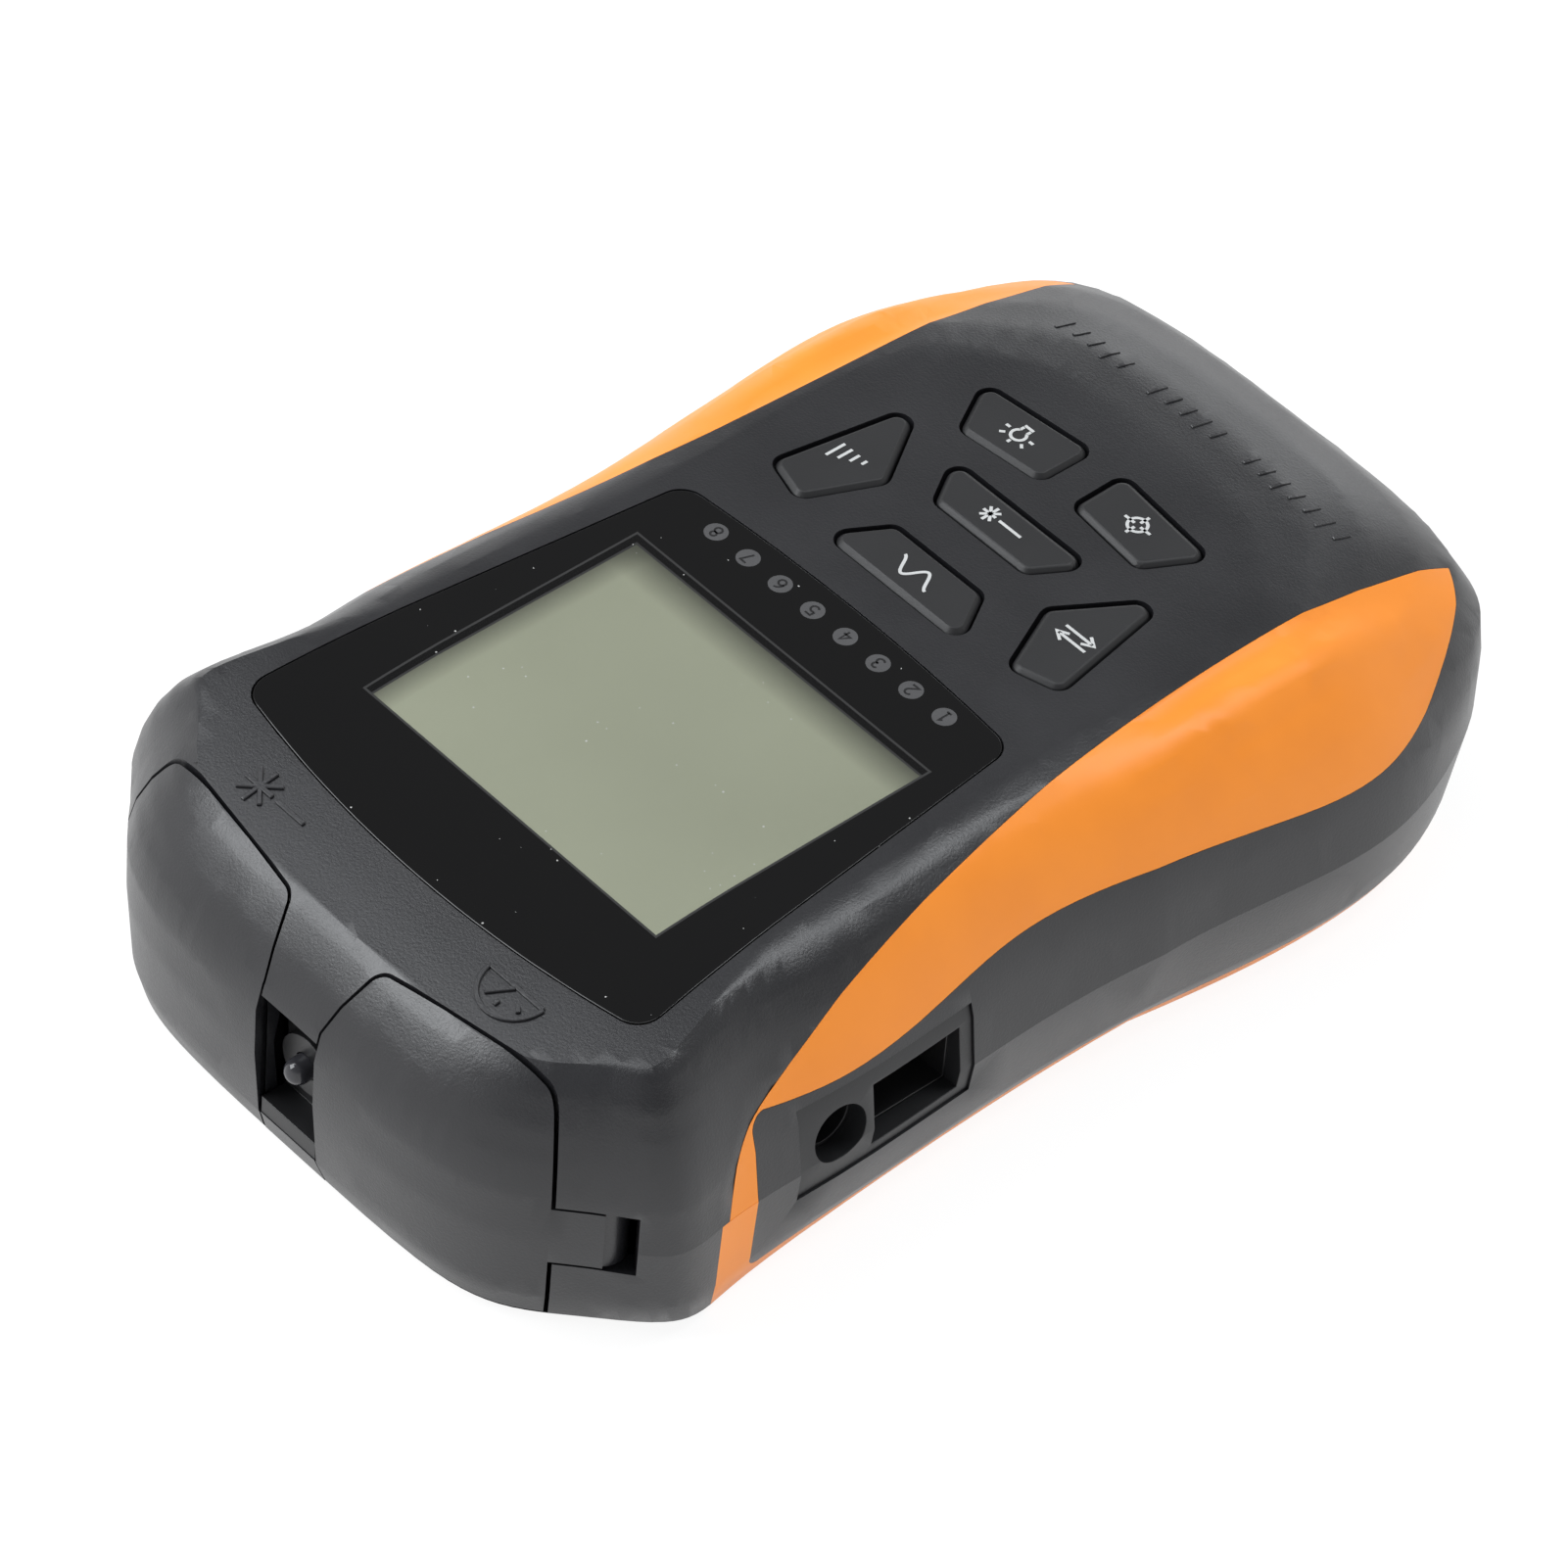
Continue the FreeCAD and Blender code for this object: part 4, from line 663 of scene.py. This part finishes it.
ARROW_RIGHT = [[(-1.9, 0.55), (1.7, 0.55)], [(0.8, 1.25), (1.9, 0.55), (0.8, -0.05)]]
LEGENDS = {  # pen lines of each key's pictogram, in millimetres, read with the ports at the top
    "lamp_key": [arc(0, 0.25, 0.8, 0.8, -55, 235, 21), [(-0.46, -0.42), (-0.46, -0.95)],
                 [(0.46, -0.42), (0.46, -0.95)], [(-0.6, -1.2), (0.6, -1.2)], [(0, 1.35), (0, 1.8)],
                 [(-1.15, 0.95), (-1.6, 1.35)], [(1.15, 0.95), (1.6, 1.35)], [(-1.35, 0.1), (-1.9, 0.1)],
                 [(1.35, 0.1), (1.9, 0.1)]],
    "laser_key": [[(-2.6, 0), (0.4, 0)], [(0.9, 0), (2.6, 0)], [(1.65, -1.15), (1.65, 1.15)],
                  [(0.95, -0.8), (2.35, 0.8)], [(0.95, 0.8), (2.35, -0.8)]],
    "wavelength_key": [np.stack([np.linspace(-2.5, 2.5, 41),
                                 1.05 * np.sin(np.linspace(-1, 1, 41) * 1.5 * np.pi)], 1)],
    "reference_key": [arc(0, 0, 1.0, 1.0, 0, 360, 33), [(-1.75, 0), (-0.4, 0)], [(0.4, 0), (1.75, 0)],
                      [(0, 0.4), (0, 1.6)], [(0, -1.6), (0, -0.4)]],
    "meter_unit_key": ARROW_RIGHT + [[(1.9, -0.65), (-1.7, -0.65)],
                                     [(-0.8, 0.05), (-1.9, -0.65), (-0.8, -1.35)]],
    "decibel_key": [[(-1.6, -1.2), (-1.6, -0.5)], [(-0.55, -1.2), (-0.55, 0.1)],
                    [(0.5, -1.2), (0.5, 0.7)], [(1.55, -1.2), (1.55, 1.3)]],
}
NUMERALS = (  # pen lines of the figures one to eight
    [[(-0.22, 0.42), (0.04, 0.66), (0.04, -0.66)], [(-0.24, -0.66), (0.32, -0.66)]],
    [np.vstack([arc(0, 0.3, 0.36, 0.36, 160, -35, 11), [(-0.38, -0.64)], [(0.4, -0.64)]])],
    [arc(-0.02, 0.33, 0.33, 0.33, 150, -90, 11), arc(-0.02, -0.3, 0.38, 0.36, 90, -150, 11)],
    [[(0.16, -0.7), (0.16, 0.66), (-0.42, -0.24), (0.42, -0.24)]],
    [[(0.34, 0.64), (-0.3, 0.64), (-0.34, 0.08)], arc(-0.02, -0.24, 0.4, 0.4, 125, -145, 13)],
    [arc(0, -0.26, 0.37, 0.38, 0, 360, 21), arc(0.42, -0.12, 0.79, 0.8, 180, 105, 9)],
    [[(-0.36, 0.64), (0.38, 0.64), (-0.1, -0.68)]],
    [arc(0, 0.34, 0.3, 0.3, 0, 360, 19), arc(0, -0.31, 0.37, 0.36, 0, 360, 21)],
)


class DressOperator:
    """What the operators of the pieces share."""

    bl_options = {"REGISTER", "UNDO"}

    @classmethod
    def poll(cls, context):
        return hasattr(context.scene, "meter_colours")


class METER_OT_finishes(DressOperator, bpy.types.Operator):
    """Make every finish from the chosen colours"""

    bl_idname = "meter.finishes"
    bl_label = "Make finishes"

    def execute(self, context):
        FINISH.update(finishes())
        for node, piece in frame["nodes"].items():
            piece.data.materials.clear()
            piece.data.materials.append(FINISH[SLOT_OF[node]])
        return {"FINISHED"}


class METER_OT_casing(DressOperator, bpy.types.Operator):
    """Dress both shells, the battery door and the port covers"""

    bl_idname = "meter.casing"
    bl_label = "Casing and covers"

    def execute(self, context):
        finished("front_shell", soften=1)
        finished("back_shell")
        finished("battery_door")
        self.painted_drive_shade()
        for node in COVER_NODES:
            finished(node, context.scene.meter_sizes.cover_edge, soften=1)
        return {"FINISHED"}

    def painted_drive_shade(self):
        """Dark cross in the crown of each screw head: painted shade where a cross recess would be.

        A head's middle is that of the lowest corners in its quarter of the plan.
        """
        half, wide, head = 0.95, 0.4 * MM, 0.5 * MM
        mesh = frame["nodes"]["case_screws"].data
        spots = np.empty(len(mesh.vertices) * 3)
        mesh.vertices.foreach_get("co", spots)
        spots = spots.reshape(-1, 3)
        crown = spots[:, 2].min()
        spots = spots[spots[:, 2] < crown + head]
        middle = (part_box("case_screws")[0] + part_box("case_screws")[1]) / 2
        lines = []
        for side_x in (-1, 1):
            for side_y in (-1, 1):
                mine = spots[((spots[:, 0] - middle.x) * side_x > 0)
                             & ((spots[:, 1] - middle.y) * side_y > 0)]
                centre = (mine[:, :2].min(0) + mine[:, :2].max(0)) / 2
                lines += drawing([[(-half, 0), (half, 0)], [(0, -half), (0, half)]], centre, wide)
        mark = raised("painted_drive_shade", lines, flat(crown - SUNK), flat(crown + 0.4 * MM))
        seat(mark, "casing", "screw_shadow")


class METER_OT_grips(DressOperator, bpy.types.Operator):
    """Dress the soft grips"""

    bl_idname = "meter.grips"
    bl_label = "Soft grips"

    def execute(self, context):
        for node in ("left_upper_grip", "right_upper_grip"):
            finished(node, 0.12 * MM, soften=1, ridge=0.8 * MM)
        for node in ("left_lower_grip", "right_lower_grip"):
            finished(node, 0.12 * MM)
        return {"FINISHED"}


class METER_OT_display(DressOperator, bpy.types.Operator):
    """Dress the window and the display behind it"""

    bl_idname = "meter.display"
    bl_label = "Window and display"

    def execute(self, context):
        finished("display_window", 0.12 * MM)
        finished("lcd_panel", 0.05 * MM)
        self.polariser()
        return {"FINISHED"}

    def polariser(self):
        """Front sheet of the display: a slab whose top follows the window's underside a little below."""
        low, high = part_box("lcd_panel")
        air = 0.1 * MM
        under = casing_top(-WINDOW_THICK - air)
        inset = 0.3 * MM
        y = np.linspace(low.y + inset, high.y - inset, 33)
        sides = [np.stack([np.full_like(y, x), y], 1) for x in (low.x + inset, high.x - inset)]
        piece = raised("display_polariser", [sides], flat(high.z), under)
        seat(piece, BODY_OF["lcd_panel"], SLOT_OF["lcd_panel"])


class METER_OT_keys(DressOperator, bpy.types.Operator):
    """Dress the six keys"""

    bl_idname = "meter.keys"
    bl_label = "Keys"

    def execute(self, context):
        for node in KEY_NODES:
            finished(node, 0.3 * MM, 20.0)
        return {"FINISHED"}


class METER_OT_legends(DressOperator, bpy.types.Operator):
    """Print a pictogram on each key, and the numbered discs of the cable tester's row"""

    bl_idname = "meter.legends"
    bl_label = "Legends and numerals"

    def execute(self, context):
        sizes = context.scene.meter_sizes
        for node in KEY_NODES:
            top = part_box(node)[1].z
            lines = drawing(LEGENDS[node], top_middle(node), sizes.legend_line, 1.1)
            mark = raised(node + "_legend", lines, flat(top - SUNK), flat(top + sizes.legend_thick))
            seat(mark, BODY_OF[node], "print_white")
        self.lamp_row(sizes)
        return {"FINISHED"}

    def lamp_row(self, sizes):
        """Eight printed discs above the tester's lamps, and the figures one to eight on them."""
        low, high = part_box("tester_lamps")
        lamp_half, dished = MM, 0.2 * MM
        pitch = (high.x - low.x - 2 * lamp_half) / 7
        middles = [np.array([low.x + lamp_half + pitch * index, (low.y + high.y) / 2])
                   for index in range(8)]
        top = CAD_HIGH.z - dished
        thick = sizes.legend_thick
        discs = [disc(middle, sizes.disc / 2) for middle in middles]
        mark = raised("lamp_discs", discs, flat(top - SUNK), flat(top + 0.4 * thick))
        seat(mark, "casing", "disc_grey")
        lines = []
        for middle, figure in zip(middles, NUMERALS):
            lines += drawing(figure, middle, 0.24 * MM, 1.15)
        mark = raised("lamp_numerals", lines, flat(top), flat(top + 0.8 * thick))
        seat(mark, "casing", "digit_dark")


class METER_OT_mouldings(DressOperator, bpy.types.Operator):
    """Raise the port marks and the row of plain strokes at the far end, in the casing's own plastic"""

    bl_idname = "meter.mouldings"
    bl_label = "Moulded marks"

    def execute(self, context):
        sizes = context.scene.meter_sizes
        along, line, buried, blow_up = 58.6, 0.52 * MM, 0.15 * MM, 1.55
        beam = [[(-3.0, 0), (-0.2, 0)], [(1.5, -1.5), (1.5, 1.5)], [(0.3, -1.05), (2.7, 1.05)],
                [(0.3, 1.05), (2.7, -1.05)], [(0.2, 0), (2.9, 0)]]
        dial = [arc(0, -1.2, 2.6, 2.6, 0, 180, 25), [(-2.6, -1.2), (2.6, -1.2)], [(0, -1.1), (1.2, 0.5)],
                [(-1.65, 0.1), (-1.3, -0.2)], [(0, 0.75), (0, 0.3)]]
        top = surface_over("front_shell")
        for name, figure, x in (("laser_port_mark", beam, 17.2), ("meter_port_mark", dial, -18.3)):
            lines = drawing(figure, np.array([x, along]) * MM, line, blow_up)
            self.moulding(name, lines, lifted(top, -buried), lifted(top, sizes.emboss))
        lines = self.far_strokes()
        self.moulding("far_strokes", lines, lifted(top, -buried), lifted(top, 0.5 * sizes.emboss))
        return {"FINISHED"}

    def moulding(self, name, lines, low, high):
        """One mark in the casing's plastic, with its edges eased."""
        mark = raised(name, lines, low, high)
        eased(mark, 0.08 * MM, 1)
        seat(mark, "casing", "casing_black")

    def far_strokes(self):
        """Three groups of short slanted strokes in a row, every third one taller."""
        lines = []
        x, pitch, gap, along, line = -22.4, 2.3, 2.85, -54.5, 0.5 * MM
        for count in (7, 5, 5):
            for index in range(count):
                tall = 1.6 if index % 3 == 1 else 1.1
                slant = [(-0.2, -1.1), (0, 0.2), (0.2, tall)]
                lines += drawing([slant], np.array([x, along]) * MM, line)
                x += pitch
            x += gap
        return lines


class METER_OT_ports(DressOperator, bpy.types.Operator):
    """Dress the end plate, the torch, the optical ports and the side panel"""

    bl_idname = "meter.ports"
    bl_label = "Ports and torch"

    def execute(self, context):
        for node in ("end_plate", "side_panel", "network_socket", "power_jack"):
            finished(node, 0.1 * MM)
        for node in ("torch_bezel", "torch_lamp", "laser_adapter", "meter_adapter"):
            finished(node, 0.08 * MM, 40.0)
        return {"FINISHED"}


# ------------------------------------------------------------------ stage
class METER_OT_stage(DressOperator, bpy.types.Operator):
    """Set the floor, the soft lights, the surroundings and the camera"""

    bl_idname = "meter.stage"
    bl_label = "Studio and camera"

    def execute(self, context):
        colours = context.scene.meter_colours
        self.floor(colours.backdrop)
        self.surroundings(context.scene)
        self.lights()
        self.camera(context.scene)
        context.scene.view_settings.view_transform = "Standard"
        return {"FINISHED"}

    def floor(self, colour):
        """A matt card that shows pale to the camera and in gloss, and keeps the meter's shadow."""
        reach, seen_share, seen_strength = 6.0, 0.82, 1.1
        under = CAD_LOW.z - 0.2 * MM
        corners = [(-reach, -reach, under), (reach, -reach, under),
                   (reach, reach, under), (-reach, reach, under)]
        floor = mesh_piece("studio_floor", corners, [(0, 1, 2, 3)])
        bpy.context.scene.collection.objects.link(floor)
        n = Nodes("floor card")
        path = n.add("LightPath")
        seen = path.outputs["Is Camera Ray"]
        for ray in ("Is Glossy Ray", "Is Transmission Ray"):
            seen = n.maths("MAXIMUM", seen, path.outputs[ray])
        matt = n.add("BsdfDiffuse")
        matt.inputs["Color"].default_value = (*colour, 1)
        glow = n.add("Emission")
        glow.inputs["Color"].default_value = (1, 1, 1, 1)
        glow.inputs["Strength"].default_value = seen_strength
        blend = n.add("MixShader")
        n.tree.links.new(n.maths("MULTIPLY", seen, seen_share), blend.inputs["Fac"])
        n.tree.links.new(matt.outputs[0], blend.inputs[1])
        n.tree.links.new(glow.outputs[0], blend.inputs[2])
        n.tree.links.new(blend.outputs[0], n.output.inputs["Surface"])
        floor.data.materials.append(n.material)

    def surroundings(self, scene):
        """White along the horizon, quiet above, so that level tops stay dark and slopes shine."""
        world = bpy.data.worlds.new("studio surroundings")
        scene.world = world
        world.use_nodes = True
        tree = world.node_tree
        tree.nodes.clear()
        where = tree.nodes.new("ShaderNodeTexCoord")
        split = tree.nodes.new("ShaderNodeSeparateXYZ")
        fade = tree.nodes.new("ShaderNodeMapRange")
        fade.interpolation_type = "SMOOTHSTEP"
        horizon, height, bright, quiet = 0.17, 0.62, 1.0, 0.24
        for socket, value in zip(RANGE_SOCKETS, (horizon, height, bright, quiet)):
            fade.inputs[socket].default_value = value
        glow = tree.nodes.new("ShaderNodeBackground")
        glow.inputs["Color"].default_value = (1, 1, 1, 1)
        out = tree.nodes.new("ShaderNodeOutputWorld")
        tree.links.new(where.outputs["Generated"], split.inputs[0])
        tree.links.new(split.outputs[2], fade.inputs["Value"])
        tree.links.new(fade.outputs["Result"], glow.inputs["Strength"])
        tree.links.new(glow.outputs[0], out.inputs["Surface"])

    def lights(self):
        """Soft square lamps: where each stands from the meter's middle, its size and its power."""
        middle = (CAD_LOW + CAD_HIGH) / 2
        for name, away, size, power in (
                ("high softbox", (0.54, 0.63, 0.72), 0.60, 8.5),
                ("ridge softbox", (0.55, 0.10, 0.95), 0.45, 2.4),
                ("overhead softbox", (0.14, -0.04, 1.10), 0.40, 1.5),
                ("low softbox", (-0.24, -0.50, 0.95), 0.36, 3.2),
                ("far softbox", (0.50, -0.95, 0.30), 0.50, 0.9)):
            lamp = bpy.data.lights.new(name, "AREA")
            lamp.size = size
            lamp.energy = power
            lamp.color = (0.95, 0.975, 1.0)
            holder = bpy.data.objects.new(name, lamp)
            holder.location = middle + Vector(away)
            holder.rotation_mode = "QUATERNION"
            holder.rotation_quaternion = (-Vector(away)).to_track_quat("-Z", "Y")
            bpy.context.scene.collection.objects.link(holder)
            holder.visible_camera = False

    def camera(self, scene):
        """The view camera, from the directions of its right and its up."""
        eye = bpy.data.cameras.new("view camera")
        eye.sensor_width = 36.0
        eye.lens = scene.meter_sizes.camera_lens
        eye.clip_start = 0.01
        eye.clip_end = 50.0
        holder = bpy.data.objects.new("view camera", eye)
        scene.collection.objects.link(holder)
        place = Vector((-0.41802, 0.42932, 0.59806))
        right = Vector((-0.66652, -0.74265, 0.06489))
        up = Vector((0.55245, -0.43361, 0.71189))
        back = right.cross(up)
        turn = Matrix((right, up, back)).transposed()
        holder.matrix_world = Matrix.Translation(place) @ turn.to_4x4()
        scene.camera = holder


# ------------------------------------------------------------------ panel and registration
PIECE_OPERATORS = (METER_OT_finishes, METER_OT_casing, METER_OT_grips, METER_OT_display, METER_OT_keys,
                   METER_OT_legends, METER_OT_mouldings, METER_OT_ports, METER_OT_stage)


class METER_PT_panel(bpy.types.Panel):
    """Lists the meter's pieces and settings in the sidebar"""

    bl_idname = "METER_PT_panel"
    bl_label = "Power meter"
    bl_space_type = "VIEW_3D"
    bl_region_type = "UI"
    bl_category = "Power meter"

    def draw(self, context):
        for operator in PIECE_OPERATORS:
            self.layout.operator(operator.bl_idname)
        for group in (context.scene.meter_colours, context.scene.meter_sizes):
            for name in group.__annotations__:
                self.layout.prop(group, name)


CLASSES = (MeterColours, MeterSizes) + PIECE_OPERATORS + (METER_PT_panel,)


def register():
    for item in CLASSES:
        bpy.utils.register_class(item)
    bpy.types.Scene.meter_colours = bpy.props.PointerProperty(type=MeterColours)
    bpy.types.Scene.meter_sizes = bpy.props.PointerProperty(type=MeterSizes)


def unregister():
    del bpy.types.Scene.meter_sizes
    del bpy.types.Scene.meter_colours
    for item in reversed(CLASSES):
        bpy.utils.unregister_class(item)


def main():
    register()
    for operator in PIECE_OPERATORS:
        group, name = operator.bl_idname.split(".")
        getattr(getattr(bpy.ops, group), name)()


if __name__ == "__main__":
    main()
